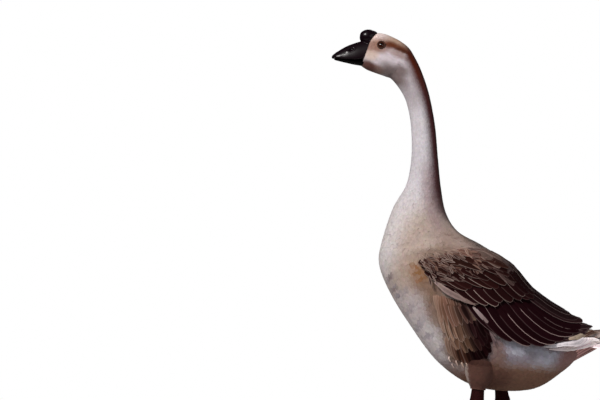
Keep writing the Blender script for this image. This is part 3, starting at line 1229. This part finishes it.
def pushNostril(points):
    n = bill["nostril"]
    c, s = math.cos(math.radians(n["slope"])), math.sin(math.radians(n["slope"]))
    u = ((points[:, 0] - n["x"]) * c + (points[:, 2] - n["z"]) * s) / n["halfLength"]
    v = (-(points[:, 0] - n["x"]) * s + (points[:, 2] - n["z"]) * c) / n["halfHeight"]
    away = np.hypot(u, v)
    onWall = np.abs(points[:, 1]) > n["wallFrom"]
    pit = n["depth"] * (1 - smooth(*n["pitEdge"], away))
    lip = n["lipHeight"] * np.exp(-((away - n["lipAt"]) / n["lipWidth"]) ** 2)
    points[:, 1] -= np.sign(points[:, 1]) * (pit - lip) * onWall


def pushNail(points):
    n = bill["nail"]
    points[:, 2] += n["height"] * (1 - smooth(*n["from"], points[:, 0])) * (points[:, 2] > n["above"])


def buildBillPart(name, key, extras, paint, nodes):
    points = loftPoints(bill[key], bill["rings"], bill["segments"])
    if key == "upper":
        pushNostril(points)
        pushNail(points)
    made = fillMesh(name, points, *closedTube(bill["rings"], bill["segments"]))
    outward(made)
    guide = addObject("guide", made.data.copy())
    for extra in extras:
        joinInto(made, extra)
    remesh(made, bill["voxel"], bill["smoothing"])
    followGuide(made, guide)
    finishPiece(made, paint, "bill", *nodes)


def followGuide(thing, guide):
    # ahead of the knob the surface is laid back on the smooth loft
    ahead = thing.vertex_groups.new(name="ahead")
    for vertex in thing.data.vertices:
        ahead.add([vertex.index], float(1 - smooth(*bill["blend"], vertex.co.x / mm)), "REPLACE")
    wrap = thing.modifiers.new("Follow", "SHRINKWRAP")
    wrap.target, wrap.vertex_group = guide, "ahead"
    even = thing.modifiers.new("Even", "SMOOTH")
    even.factor, even.iterations, even.vertex_group = 0.5, bill["evening"], "ahead"
    makePlain(thing)
    bpy.data.objects.remove(guide)


def joinInto(target, extra):
    shape = bmesh.new()
    shape.from_mesh(target.data)
    shape.from_mesh(extra.data)
    shape.to_mesh(target.data)
    shape.free()
    bpy.data.objects.remove(extra)


def remesh(thing, voxel, smoothing):
    step = thing.modifiers.new("Remesh", "REMESH")
    step.mode, step.voxel_size, step.use_smooth_shade = "VOXEL", voxel * mm, True
    soft = thing.modifiers.new("Smooth", "SMOOTH")
    soft.factor, soft.iterations = 0.5, smoothing
    makePlain(thing)


def makePlain(thing):
    # modifiers into the mesh
    bpy.context.view_layer.update()
    graph = bpy.context.evaluated_depsgraph_get()
    result = bpy.data.meshes.new_from_object(thing.evaluated_get(graph))
    thing.modifiers.clear()
    thing.data = result
    thing.data.shade_smooth()


def ballMesh(name, centre, radii, segments=64, rings=40, tilt=0.0, lumps=0.0):
    # radii along x, y and z, then tilted in profile; lumps is how uneven it is
    shape = bmesh.new()
    bmesh.ops.create_uvsphere(shape, u_segments=segments, v_segments=rings, radius=1.0)
    turn = math.radians(tilt)
    for vertex in shape.verts:
        x, y, z = vertex.co.x * radii[0], vertex.co.y * radii[1], vertex.co.z * radii[2]
        wave = math.sin(3.1 * vertex.co.x + 1.3) * math.sin(4.3 * vertex.co.z + 0.4)
        swell = 1 + lumps * wave * math.cos(3.7 * vertex.co.y)
        x, y, z = x * swell, y * swell, z * swell
        vertex.co = Vector((
            centre[0] + x * math.cos(turn) - z * math.sin(turn), centre[1] + y,
            centre[2] + x * math.sin(turn) + z * math.cos(turn))) * mm
    mesh = bpy.data.meshes.new(name)
    shape.to_mesh(mesh)
    shape.free()
    mesh.shade_smooth()
    return addObject(name, mesh)


# Black horn and bare skin: dark and worn colours, gloss, and pores in mm.
hornLooks = {
    "blackBill": {
        "dark": (0.0055, 0.0014, 0.0032), "worn": (0.010, 0.0034, 0.0068), "roughness": 0.42,
        "coat": 0.34, "coatRoughness": 0.18, "specular": 0.05, "pores": 0.0},
    "blackBillUnder": {
        "dark": (0.0016, 0.0006, 0.0009), "worn": (0.004, 0.002, 0.0026), "roughness": 0.5,
        "coat": 0.06, "coatRoughness": 0.2, "specular": 0.02, "pores": 0.08},
    "lidSkin": {
        "dark": (0.050, 0.016, 0.008), "worn": (0.08, 0.030, 0.016), "roughness": 0.6,
        "coat": 0.0, "coatRoughness": 0.25, "specular": 0.3, "pores": 0.08},
    "darkClaw": {
        "dark": (0.022, 0.015, 0.013), "worn": (0.07, 0.05, 0.045), "roughness": 0.4,
        "coat": 0.1, "coatRoughness": 0.25, "specular": 0.3, "pores": 0.08},
}


def hornMaterial(name):
    # faint pores, and paler rubbed patches in places
    look, rubContrast = hornLooks[name], 2.2
    made, tree, shader = newMaterial(name, look["roughness"], {
        "Coat Weight": look["coat"], "Coat Roughness": look["coatRoughness"],
        "Specular IOR Level": look["specular"]})
    fine = placeGroup(tree, "mottle", Scale=420.0, Amount=0.3)
    broad = placeGroup(tree, "mottle", Scale=70.0, Amount=1.0)
    above = mathNode(tree, "SUBTRACT", broad.outputs[0], 1.0)
    rub = mathNode(tree, "MULTIPLY", above, rubContrast, clamp=True)
    colour = mixColours(tree, rub, (*look["dark"], 1), (*look["worn"], 1))
    setColour(tree, shader, colour, fine.outputs["Factor"])
    rough = mathNode(tree, "MULTIPLY", fine.outputs["Factor"], look["roughness"])
    feed(tree, shader, {"Roughness": rough})
    setBump(tree, shader, fine.outputs["Factor"], 0.25, look["pores"])
    return made


def buildBill():
    k = bill["knob"]
    extras = [ballMesh(
        "knobForm", (k["x"], 0, k["z"]), (k["length"], k["width"], k["height"]), tilt=k["tilt"],
        lumps=k["lumps"])]
    for x, z, length, width, height, tilt in bill["saddles"]:
        extras.append(ballMesh("saddle", (x, 0, z), (length, width, height), tilt=tilt))
    buildBillPart("billUpper", "upper", extras, hornMaterial("blackBill"), ["bill_upper", "knob"])
    buildBillPart("billLower", "lower", [], hornMaterial("blackBillUnder"), ["bill_lower"])


buildBill()
print("bill built")


# Eyes and lids

eyeLook = {
    "pupil": 17.0, "iris": 40.0, "pupilEdge": 0.02, "irisEdge": 0.08, "colourDegrees": 60.0,
    "cornea": 0.35, "corneaDegrees": 38, "segments": 72, "rings": 48,
    "lidRadius": 6.7, "lidThickness": 1.15, "upperLid": 1.12, "lowerLid": 0.95, "lidSpread": 0.85,
    "lidRise": 0.9, "lidSink": 0.1, "lidAround": 72, "lidAcross": 14,
}


def headPoint(x, z, side):
    # the place on the head's side that has this profile point
    places, degrees = np.meshgrid(np.linspace(headStart, 0, 220), np.arange(10, 170, 1.0), indexing="ij")
    points, out = shell(places, degrees, np.full(places.shape, float(side)))
    best = np.hypot(points[..., 0] - x, points[..., 2] - z).argmin()
    return points.reshape(-1, 3)[best], out.reshape(-1, 3)[best]


def lidPoints(front, out):
    # one ring of skin round the eye, thicker above
    upward = unit(np.array([0, 0, 1.0]) - out * out[2])
    forward = np.cross(upward, out)
    points = []
    for k in range(eyeLook["lidAround"]):
        turn = 2 * math.pi * k / eyeLook["lidAround"]
        spoke = forward * math.cos(turn) + upward * math.sin(turn)
        thick = eyeLook["lidThickness"] * eyeLook["upperLid" if math.sin(turn) > 0 else "lowerLid"]
        for j in range(eyeLook["lidAcross"]):
            roll = 2 * math.pi * j / eyeLook["lidAcross"]
            points.append(
                front + spoke * (eyeLook["lidRadius"] + thick * eyeLook["lidSpread"] * math.cos(roll))
                + out * (thick * math.sin(roll) * eyeLook["lidRise"] - eyeLook["lidSink"]))
    return points


def buildEye(side, word):
    surface, out = headPoint(eyePlace["x"], eyePlace["z"], side)
    sunk = eyePlace["radius"] - eyePlace["shows"]
    centre = surface - out * sunk
    radii = (eyePlace["radius"],) * 3
    eye = ballMesh(f"eyeBall_{word}", centre, radii, eyeLook["segments"], eyeLook["rings"])
    angle = []
    for vertex in eye.data.vertices:
        away = (vertex.co / mm - Vector(centre)).normalized()
        degrees = math.degrees(away.angle(Vector(out)))
        angle.append(degrees)
        swell = eyeLook["cornea"] * max(0.0, 1 - (degrees / eyeLook["corneaDegrees"]) ** 2)
        vertex.co += away * swell * mm
    pointValues(eye, "fromAxis", np.array(angle))
    finishPiece(eye, eyePaint, "eye", f"eye_{word}")
    around, across = eyeLook["lidAround"], eyeLook["lidAcross"]
    k, j = np.meshgrid(np.arange(around), np.arange(across), indexing="ij")
    a, b = k * across + j, (k + 1) % around * across + j
    c, d = (k + 1) % around * across + (j + 1) % across, k * across + (j + 1) % across
    loops = np.stack([a, b, c, d], -1).ravel()
    lid = fillMesh(f"lid_{word}", lidPoints(centre + out * sunk, out), loops, np.full(around * across, 4))
    outward(lid)
    finishPiece(lid, lidPaint, "head_feathers")


def eyeMaterial():
    # colours by the degrees from the eye's axis
    made, tree, shader = newMaterial(
        "eyeGloss", 0.12, {"Coat Weight": 0.15, "Coat Roughness": 0.03, "Specular IOR Level": 0.3})
    whole, edge = eyeLook["colourDegrees"], eyeLook["pupilEdge"]
    axis = pointLayer(tree, "fromAxis")
    share = mathNode(tree, "DIVIDE", axis.outputs["Fac"], whole)
    ramp = addNode(tree, "ShaderNodeValToRGB", {0: share})
    stops = ramp.color_ramp.elements
    pupil, iris = eyeLook["pupil"] / whole, eyeLook["iris"] / whole
    stops[0].position, stops[0].color = pupil - edge, (0.003, 0.002, 0.002, 1)
    stops[1].position, stops[1].color = pupil + edge, (0.028, 0.0055, 0.0020, 1)
    for place, colour in (
        (iris - eyeLook["irisEdge"], (0.045, 0.0095, 0.0030, 1)), (iris, (0.012, 0.004, 0.003, 1)),
    ):
        stops.new(place).color = colour
    mottle = placeGroup(tree, "mottle", Scale=900.0, Amount=0.9)
    setColour(tree, shader, ramp.outputs[0], mottle.outputs["Factor"])
    return made


eyePaint = eyeMaterial()
lidPaint = hornMaterial("lidSkin")
for side, word in sides:
    buildEye(side, word)
print("eyes built")


# Legs: thighs with feathers, scaled shanks and webbed feet. The right leg stands a little behind.
legPlaces = {
    -1: {"hip": (10.0, 44.0, 176.0), "ankle": (1.4, 46.0, 88.0), "toes": (3.0, 50.0, 11.0)},
    1: {"hip": (46.0, 44.0, 176.0), "ankle": (56.0, 46.0, 86.0), "toes": (43.0, 50.0, 11.0)},
}
# Radii from the hip down; reach is the share of the way to the ankle. Rows of feathers start and end at
# shares of the thigh's length.
thighForm = {
    "radii": (34.0, 31.0, 27.0, 21.5, 13.6), "reach": 0.69, "depth": 2.4, "rings": 40, "segments": 48,
    "rowsFrom": 0.12, "rowsTo": 0.93, "rowStep": 0.055, "spacing": 4.2, "length": 0.19, "halfWidth": 4.0,
    "lowSize": 0.6, "stray": 0.01, "turnStray": 3, "tilt": 3, "tipLift": 0.2, "mapPlace": 12,
}
# Stations: share of the way from ankle to foot, less than 0 above it where 1 is aboveAnkle mm; radius.
shankForm = {
    "stations": (
        (-0.36, 11.0), (-0.12, 12.4), (0.0, 14.4), (0.10, 13.5), (0.24, 9.6), (0.55, 7.1), (0.85, 7.3),
        (1.0, 7.8)),
    "aboveAnkle": 90, "voxel": 0.62, "smoothing": 4,
}
# Stub and hind toe: height or reach, then radius or height. Claws: radius, length.
footForm = {
    "top": 12.0, "stub": ((15.0, 7.6), (8.0, 8.2), (1.2, 7.2)), "turnOut": 6.0,
    "toeDegrees": (-30.0, 2.0, 31.0),
    "toeLengths": (61.0, 74.0, 64.0), "toeRadius": 4.9, "hindDegrees": 24.0,
    "hindPath": ((1.0, 8.2), (8.0, 6.8), (15.0, 5.0)), "hindRadii": (4.2, 3.4, 2.3),
    "webHeight": 2.3, "webThickness": 1.7, "webReach": 0.9, "webHollow": 0.16, "webFrom": 0.08,
    "webSag": 0.5, "claw": (2.3, 8.5), "hindClaw": (1.7, 5.5),
}
# Share of the toe's length, height of its middle, share of its radius.
toeStations = (
    (0.0, 6.4, 1.25), (0.22, 5.6, 1.0), (0.4, 4.2, 1.12), (0.55, 4.4, 0.9), (0.7, 3.6, 1.0),
    (0.88, 3.4, 0.82), (1.0, 2.9, 0.6),
)
# Points of a claw: share of its length, mm further, mm up, share of the root's height down, share of
# its radius.
clawStations = (
    (0.0, -1.5, 0.0, 0.0, 0.95), (0.25, 0.0, 0.35, 0.0, 0.9), (0.6, 0.0, 0.1, 0.0, 0.6),
    (1.0, 0.2, 0.5, 0.45, 0.12),
)


def legPoint(side, joint):
    x, half, z = legPlaces[side][joint]
    return np.array([x, side * half, z])


def tubeMesh(name, path, radii, count, segments):
    # a closed tube along a smooth curve through the points, cut off at the floor
    both = rowsAt(np.column_stack([path, radii]), np.linspace(0, len(path) - 1, count))
    path, radii = both[:, None, :3], both[:, None, 3:]
    forward = unit(np.gradient(both[:, :3], axis=0))
    first = np.cross(forward, [0.0, 1.0, 0.0])
    crosswise = np.linalg.norm(first, axis=1) < 0.3
    first[crosswise] = np.cross(forward[crosswise], [0.0, 0.0, 1.0])
    first = unit(first)
    second = np.cross(forward, first)
    angle = np.linspace(0, 2 * np.pi, segments, endpoint=False)[None, :, None]
    points = path + first[:, None] * (np.cos(angle) * radii) + second[:, None] * (np.sin(angle) * radii)
    points[..., 2] = np.maximum(points[..., 2], 0)
    made = fillMesh(name, points.reshape(-1, 3), *closedTube(count, segments))
    outward(made)
    return made


def heading(side, degrees):
    return np.array([-math.cos(math.radians(degrees)), side * math.sin(math.radians(degrees)), 0.0])


def webMesh(name, base, first, second, steps=24, layers=14):
    # the skin between two toes: thin, hollow at its front edge
    points, start = [], footForm["webFrom"]
    for upper in (0, 1):
        for k in range(steps + 1):
            share = k / steps
            reach = footForm["webReach"] * (1 - footForm["webHollow"] * math.sin(math.pi * share))
            edge = first + (second - first) * share
            for j in range(layers + 1):
                point = base + (edge - base) * reach * (start + (1 - start) * j / layers)
                sag = footForm["webSag"] * math.sin(math.pi * share) * math.sin(math.pi * j / layers)
                height = footForm["webHeight"] + upper * footForm["webThickness"] - sag
                points.append((point[0], point[1], height))
    rows, size = layers + 1, (steps + 1) * (layers + 1)
    faces = []
    for k in range(steps):
        for j in range(layers):
            a = k * rows + j
            faces.append((a, a + 1, a + rows + 1, a + rows))
            faces.append((a + size, a + rows + size, a + rows + 1 + size, a + 1 + size))
    border = [k * rows for k in range(steps + 1)] + [steps * rows + j for j in range(1, rows)]
    border += [k * rows + layers for k in range(steps - 1, -1, -1)] + list(range(layers - 1, 0, -1))
    faces += [(a, b, b + size, a + size) for a, b in zip(border, border[1:] + border[:1])]
    made = fillMesh(name, points, np.array([v for f in faces for v in f]), np.full(len(faces), 4))
    outward(made)
    return made


def legMaterial():
    # small plates with dark grooves between them
    made, tree, shader = newMaterial(
        "legScales", 0.6, {"Coat Weight": 0.02, "Coat Roughness": 0.4, "Specular IOR Level": 0.05})
    where = addNode(tree, "ShaderNodeTexCoord")
    cells = addNode(
        tree, "ShaderNodeTexVoronoi", {"Scale": 430.0, "Vector": where.outputs["Object"]},
        feature="DISTANCE_TO_EDGE")
    plate = softRange(tree, cells.outputs["Distance"], (0.0, 0.16))
    colour = mixColours(tree, plate, (0.0075, 0.0014, 0.0014, 1), (0.034, 0.0055, 0.0055, 1))
    mottle = placeGroup(tree, "mottle", Scale=60.0, Amount=0.9)
    setColour(tree, shader, colour, mottle.outputs["Factor"])
    setBump(tree, shader, plate, 0.7, 0.35)
    return made


# Scutes: rows of flat scales laid along lines of points by a node tree.
# Steps from one to the next, half sizes along x, y and z, and how far each is sunk, in mm.
scutes = {
    "shankStep": 3.9, "shankSize": (5.2, 2.3, 0.9), "sideSize": (2.6, 2.0, 0.7), "sideTurn": 62.0,
    "shankFrom": 5.0, "shankShort": 2, "shankRadius": 9.0, "shankSunk": 0.35,
    "toeStep": 3.4, "toeSize": (3.1, 1.9, 0.6), "toeFrom": 12.0, "toeShort": 3, "toeSunk": 0.3,
    "swell": 1.0, "uneven": 0.12, "seed": 5, "segments": 16, "rings": 10,
}


def scuteTree(paint):
    # each point becomes one flattened ball, turned by the point's own directions
    tree = bpy.data.node_groups.new("scuteRows", "GeometryNodeTree")
    tree.interface.new_socket("Points", in_out="INPUT", socket_type="NodeSocketGeometry")
    for label, value in (("Swell", scutes["swell"]), ("Uneven", scutes["uneven"])):
        socket = tree.interface.new_socket(label, in_out="INPUT", socket_type="NodeSocketFloat")
        socket.default_value = value
    tree.interface.new_socket("Seed", in_out="INPUT", socket_type="NodeSocketInt")
    tree.interface.new_socket("Scutes", in_out="OUTPUT", socket_type="NodeSocketGeometry")
    given, put = tree.nodes.new("NodeGroupInput"), tree.nodes.new("NodeGroupOutput")

    def pointVector(label):
        return addNode(
            tree, "GeometryNodeInputNamedAttribute", {"Name": label}, data_type="FLOAT_VECTOR"
        ).outputs["Attribute"]

    ball = addNode(tree, "GeometryNodeMeshUVSphere", {
        "Segments": scutes["segments"], "Rings": scutes["rings"], "Radius": 1.0})
    face = addNode(
        tree, "FunctionNodeAlignRotationToVector", {"Vector": pointVector("facing")},
        axis="Z", pivot_axis="AUTO")
    turn = addNode(
        tree, "FunctionNodeAlignRotationToVector",
        {"Vector": pointVector("along"), "Rotation": face.outputs["Rotation"]}, axis="Y", pivot_axis="Z")
    least = mathNode(tree, "SUBTRACT", 1.0, given.outputs["Uneven"])
    most = mathNode(tree, "ADD", 1.0, given.outputs["Uneven"])
    vary = addNode(
        tree, "FunctionNodeRandomValue", {2: least, 3: most, "Seed": given.outputs["Seed"]},
        data_type="FLOAT")
    swell = mathNode(tree, "MULTIPLY", vary.outputs[1], given.outputs["Swell"])
    scale = addNode(
        tree, "ShaderNodeVectorMath", {0: pointVector("size"), "Scale": swell}, operation="SCALE")
    lay = addNode(tree, "GeometryNodeInstanceOnPoints", {
        "Points": given.outputs["Points"], "Instance": ball.outputs["Mesh"],
        "Rotation": turn.outputs["Rotation"], "Scale": scale.outputs[0]})
    real = addNode(tree, "GeometryNodeRealizeInstances", {"Geometry": lay.outputs["Instances"]})
    colour = addNode(
        tree, "GeometryNodeSetMaterial", {"Geometry": real.outputs["Geometry"], "Material": paint})
    feed(tree, put, {"Scutes": colour.outputs["Geometry"]})
    return tree


def buildScutes(word, rows):
    # rows: point, outward direction, direction along the row, half sizes
    points, facing, along, sizes = (np.array(column) for column in zip(*rows))
    mesh = bpy.data.meshes.new(f"scutes_{word}")
    mesh.from_pydata((points * mm).tolist(), [], [])
    made = addObject(f"scutes_{word}", mesh)
    for label, values in (("facing", unit(facing)), ("along", unit(along)), ("size", sizes * mm)):
        layer = mesh.attributes.new(label, "FLOAT_VECTOR", "POINT")
        layer.data.foreach_set("vector", values.astype(np.float32).ravel())
    step = made.modifiers.new("scuteRows", "NODES")
    step.node_group = scuteTree(legPaint)
    given = {"Swell": scutes["swell"], "Uneven": scutes["uneven"], "Seed": scutes["seed"]}
    for item in step.node_group.interface.items_tree:
        if item.in_out == "INPUT" and item.name in given:
            step[item.identifier] = given[item.name]
    makePlain(made)
    finishPiece(made, legPaint, "leg_skin")


def shankScutes(ankle, footTop):
    # one broad row down the front of the shank and a smaller one on each side of it
    length = np.linalg.norm(footTop - ankle)
    down = (footTop - ankle) / length
    reach, radii = zip(*shankForm["stations"])
    sideTurn, step = scutes["sideTurn"], scutes["shankStep"]
    rows = []
    for at in np.arange(scutes["shankFrom"], length - scutes["shankShort"], step):
        radius = float(np.interp(at / length, reach, radii))
        for turn, size in ((0.0, "shankSize"), (-sideTurn, "sideSize"), (sideTurn, "sideSize")):
            out = heading(1, turn)
            out = unit(out - down * float(out @ down))
            shift = down * (step / 2 if turn else 0.0)
            half = np.array(scutes[size]) * [radius / scutes["shankRadius"], 1, 1]
            point = ankle + down * at + shift + out * (radius - scutes["shankSunk"])
            rows.append((point, out, down, half))
    return rows


def toeScutes(side, base):
    shares, middles, widths = zip(*toeStations)
    rows = []
    for degrees, length in zip(footForm["toeDegrees"], footForm["toeLengths"]):
        forward = heading(side, footForm["turnOut"] - degrees)
        for at in np.arange(scutes["toeFrom"], length - scutes["toeShort"], scutes["toeStep"]):
            height = float(np.interp(at / length, shares, middles))
            width = float(np.interp(at / length, shares, widths))
            top = height + width * footForm["toeRadius"] - scutes["toeSunk"]
            half = np.array(scutes["toeSize"]) * [width, 1, 1]
            rows.append((base + forward * at + [0, 0, top], np.array([0.0, 0.0, 1.0]), forward, half))
    return rows


def buildLeg(side, word):
    hip, ankle, toes = (legPoint(side, joint) for joint in ("hip", "ankle", "toes"))
    base = np.array([toes[0], toes[1], 0.0])
    footTop = np.array([toes[0], toes[1], footForm["top"]])
    above = (ankle - hip) / np.linalg.norm(ankle - hip) * shankForm["aboveAnkle"]
    reach, radii = zip(*shankForm["stations"])
    spine = [ankle + (above if share < 0 else footTop - ankle) * share for share in reach]
    made = tubeMesh(f"legSkin_{word}", spine, radii, 60, 36)
    heights, stubRadii = zip(*footForm["stub"])
    extras = [tubeMesh("stub", [base + [0, 0, z] for z in heights], stubRadii, 16, 36)]
    tips, claws = [], []
    shares, middles, widths = zip(*toeStations)
    for degrees, length in zip(footForm["toeDegrees"], footForm["toeLengths"]):
        forward = heading(side, footForm["turnOut"] - degrees)
        path = [base + forward * length * s + [0, 0, z] for s, z in zip(shares, middles)]
        extras.append(tubeMesh("toe", path, np.array(widths) * footForm["toeRadius"], 44, 24))
        tips.append(path[-1] * [1, 1, 0])
        claws.append((path[-1], forward, *footForm["claw"]))
    backward = heading(side, footForm["turnOut"] + 180 - footForm["hindDegrees"])
    path = [base + backward * along + [0, 0, z] for along, z in footForm["hindPath"]]
    extras.append(tubeMesh("hindToe", path, footForm["hindRadii"], 16, 20))
    claws.append((path[-1], unit(path[-1] - path[-2]), *footForm["hindClaw"]))
    extras += [webMesh("web", base, first, second) for first, second in zip(tips, tips[1:])]
    for extra in extras:
        joinInto(made, extra)
    remesh(made, shankForm["voxel"], shankForm["smoothing"])
    buildScutes(word, shankScutes(ankle, footTop) + toeScutes(side, base))
    finishPiece(made, legPaint, "leg_skin", f"shank_{word}", f"foot_{word}")
    for name, (root, forward, radius, length) in zip(("outer", "middle", "inner", "hind"), claws):
        curve = [
            root + forward * (length * share + further) + [0, 0, up - root[2] * fall]
            for share, further, up, fall, _ in clawStations]
        widths = [radius * station[-1] for station in clawStations]
        nail = tubeMesh(f"nail_{word}_{name}", curve, widths, 18, 18)
        finishPiece(nail, clawPaint, "claw", f"claw_{word}_{name}")


# The thigh's colours, and where they change: heights for low and high, and for the rear x, which moves
# back by a tenth of the height over a level.
thighTints = {
    "front": (0.36, 0.285, 0.255), "rear": (0.105, 0.050, 0.039), "low": (0.11, 0.054, 0.045),
    "high": (0.026, 0.009, 0.008),
}
thighEdges = {"low": (108, 126), "high": (163, 176), "rear": (-15.5, -9.5), "slope": 0.1, "level": 140}


def thighColours(points):
    # pale brown, darker and redder towards the leg and the rear
    x, z = points[..., 0], points[..., 2]
    rear = smooth(*thighEdges["rear"], x + thighEdges["slope"] * (z - thighEdges["level"]))[..., None]
    colour = mixed(thighTints["front"], thighTints["rear"], rear)
    colour = mixed(colour, thighTints["low"], (1 - smooth(*thighEdges["low"], z))[..., None])
    return mixed(colour, thighTints["high"], smooth(*thighEdges["high"], z)[..., None])


def buildThigh(side, word):
    form, hip, ankle = thighForm, legPoint(side, "hip"), legPoint(side, "ankle")
    end = hip + (ankle - hip) * form["reach"]
    length = np.linalg.norm(end - hip)
    axis = unit(end - hip)
    first = unit(np.cross(axis, [0.0, 1.0, 0.0]))
    second = np.cross(axis, first)
    radii = np.array(form["radii"])[:, None]

    def radiusAt(share):
        return rowsAt(radii, np.clip(share, 0, 1) * (len(radii) - 1))[..., 0]

    def surface(share, degrees, _, lift):
        radius, turn, ahead = radiusAt(share), np.radians(degrees), 0.02
        out = first * np.cos(turn)[..., None] + second * np.sin(turn)[..., None]
        slope = (radiusAt(share + ahead) - radius) / (ahead * length)
        points = hip + axis * (share * length)[..., None] + out * (radius + lift)[..., None]
        return points, unit(out - axis * slope[..., None])

    share, turn = np.meshgrid(
        np.linspace(0, 1, form["rings"]), np.linspace(0, 360, form["segments"], endpoint=False),
        indexing="ij")
    points = surface(share, turn, 0, np.full(share.shape, -form["depth"]))[0]
    inner = fillMesh(
        f"thighSkin_{word}", points.reshape(-1, 3), *closedTube(form["rings"], form["segments"]))
    outward(inner)
    pointValues(inner, "plumage", thighColours(points).reshape(-1, 3))
    sameSide = np.full(share.shape, float(side))
    pointMap(inner, "OFBake", *unwrap(form["mapPlace"] + share, turn / 2, sameSide))
    finishPiece(inner, downySkin, "body_feathers", f"thigh_{word}")
    tables = []
    for row, start in enumerate(np.arange(form["rowsFrom"], form["rowsTo"], form["rowStep"])):
        n = max(8, int(round(2 * math.pi * float(radiusAt(np.array([start]))[0]) / form["spacing"])))
        turns = (np.arange(n) + 0.5 * (row % 2)) * 360 / n
        turns = turns + chance.uniform(-form["turnStray"], form["turnStray"], n)
        size = float(np.interp(start, (0, 1), (1.0, form["lowSize"])))
        roots = start + chance.uniform(-form["stray"], form["stray"], n)
        tables.append({
            "rootPlace": roots, "tipPlace": roots + form["length"] * size, "rootDegrees": turns,
            "tipDegrees": turns, "halfWidth": np.full(n, form["halfWidth"] * size),
            "rootLift": np.full(n, -form["depth"] - coat["rootDepth"]),
            "tipLift": chance.uniform(-form["tipLift"], form["tipLift"], n),
            "tilt": chance.uniform(-form["tilt"], form["tilt"], n), "side": np.full(n, 1.0),
        })
    table = joinColumns(tables)
    count = len(table["side"])
    lay = layFeathers(table, "small", {**coat, "rise": level}, surface)
    lay["u"], lay["v"] = unwrap(
        form["mapPlace"] + table["rootPlace"][:, None], np.abs(table["rootDegrees"][:, None]) / 2 % 180,
        np.full((count, 1), float(side)))
    colours = uneven(thighColours(lay["centre"][:, 0]), coat["uneven"])
    made = featherPiece(f"coatThigh_{word}", lay, "small", colours, np.zeros(count), coat)
    finishPiece(made, contourPaint, "body_feathers")


legPaint = legMaterial()
clawPaint = hornMaterial("darkClaw")
for side, word in sides:
    buildLeg(side, word)
    buildThigh(side, word)
print("legs built")


# The stage: pale floor, white surroundings, soft light from the upper left
# Glossy is the surroundings' strength in reflections, so that black horn and dark feathers stay dark.
stage = {
    "floorCorners": 96, "floorTint": (0.42, 0.40, 0.38, 1), "sky": (0.93, 0.95, 1.0, 1),
    "strength": 0.27, "glossy": 0.05,
}
# Lamps: name, place, what it is aimed at, size, power, colour.
lamps = (
    ("key", (-1.55, -2.15, 2.5), (0, 0, 0.4), 0.8, 94, (1.0, 0.975, 0.95)),
    ("fill", (1.8, -2.2, 1.1), (0, 0, 0.3), 2.0, 11, (0.90, 0.95, 1.0)),
    ("back", (0.6, 2.4, 2.0), (0, 0, 0.4), 1.6, 16, (1, 1, 1)),
)


def buildStage():
    floor, corners = bpy.data.meshes.new("floor"), stage["floorCorners"]
    turns = [2 * math.pi * k / corners for k in range(corners)]
    circle = [(math.cos(turn), math.sin(turn), 0) for turn in turns]
    floor.from_pydata(circle, [], [tuple(range(corners))])
    ground = addObject("floor", floor)
    floor.materials.append(newMaterial("paleFloor", 0.8, {"Base Color": stage["floorTint"]})[0])
    world = bpy.data.worlds.new("studio")
    world.use_nodes = True
    tree = world.node_tree
    path = addNode(tree, "ShaderNodeLightPath")
    light = tree.nodes["Background"]
    dimmed = mathNode(
        tree, "MULTIPLY_ADD", path.outputs["Is Glossy Ray"], stage["glossy"] - stage["strength"],
        stage["strength"])
    feed(tree, light, {"Color": stage["sky"], "Strength": dimmed})
    seen = addNode(tree, "ShaderNodeBackground", {"Color": (1, 1, 1, 1), "Strength": 1.0})
    mix = addNode(tree, "ShaderNodeMixShader", {
        0: path.outputs["Is Camera Ray"], 1: light.outputs[0], 2: seen.outputs[0]})
    feed(tree, tree.nodes["World Output"], {"Surface": mix.outputs[0]})
    bpy.context.scene.world = world
    for name, place, aim, size, power, colour in lamps:
        lamp = bpy.data.lights.new(name, "AREA")
        lamp.size, lamp.energy, lamp.color = size, power, colour
        holder = addObject(name, lamp)
        holder.location = place
        holder.rotation_euler = (Vector(aim) - Vector(place)).to_track_quat("-Z", "Y").to_euler()


def buildCamera():
    camera = bpy.data.cameras.new("camera")
    camera.sensor_width, camera.lens = 36.0, 133.3
    holder = addObject("camera", camera)
    holder.location = (-0.31275, -4.0, 0.4518)
    holder.rotation_euler = (math.radians(90), 0, 0)
    bpy.context.scene.camera = holder
    bpy.context.scene.view_settings.view_transform = "Standard"


buildStage()
buildCamera()
print("done")
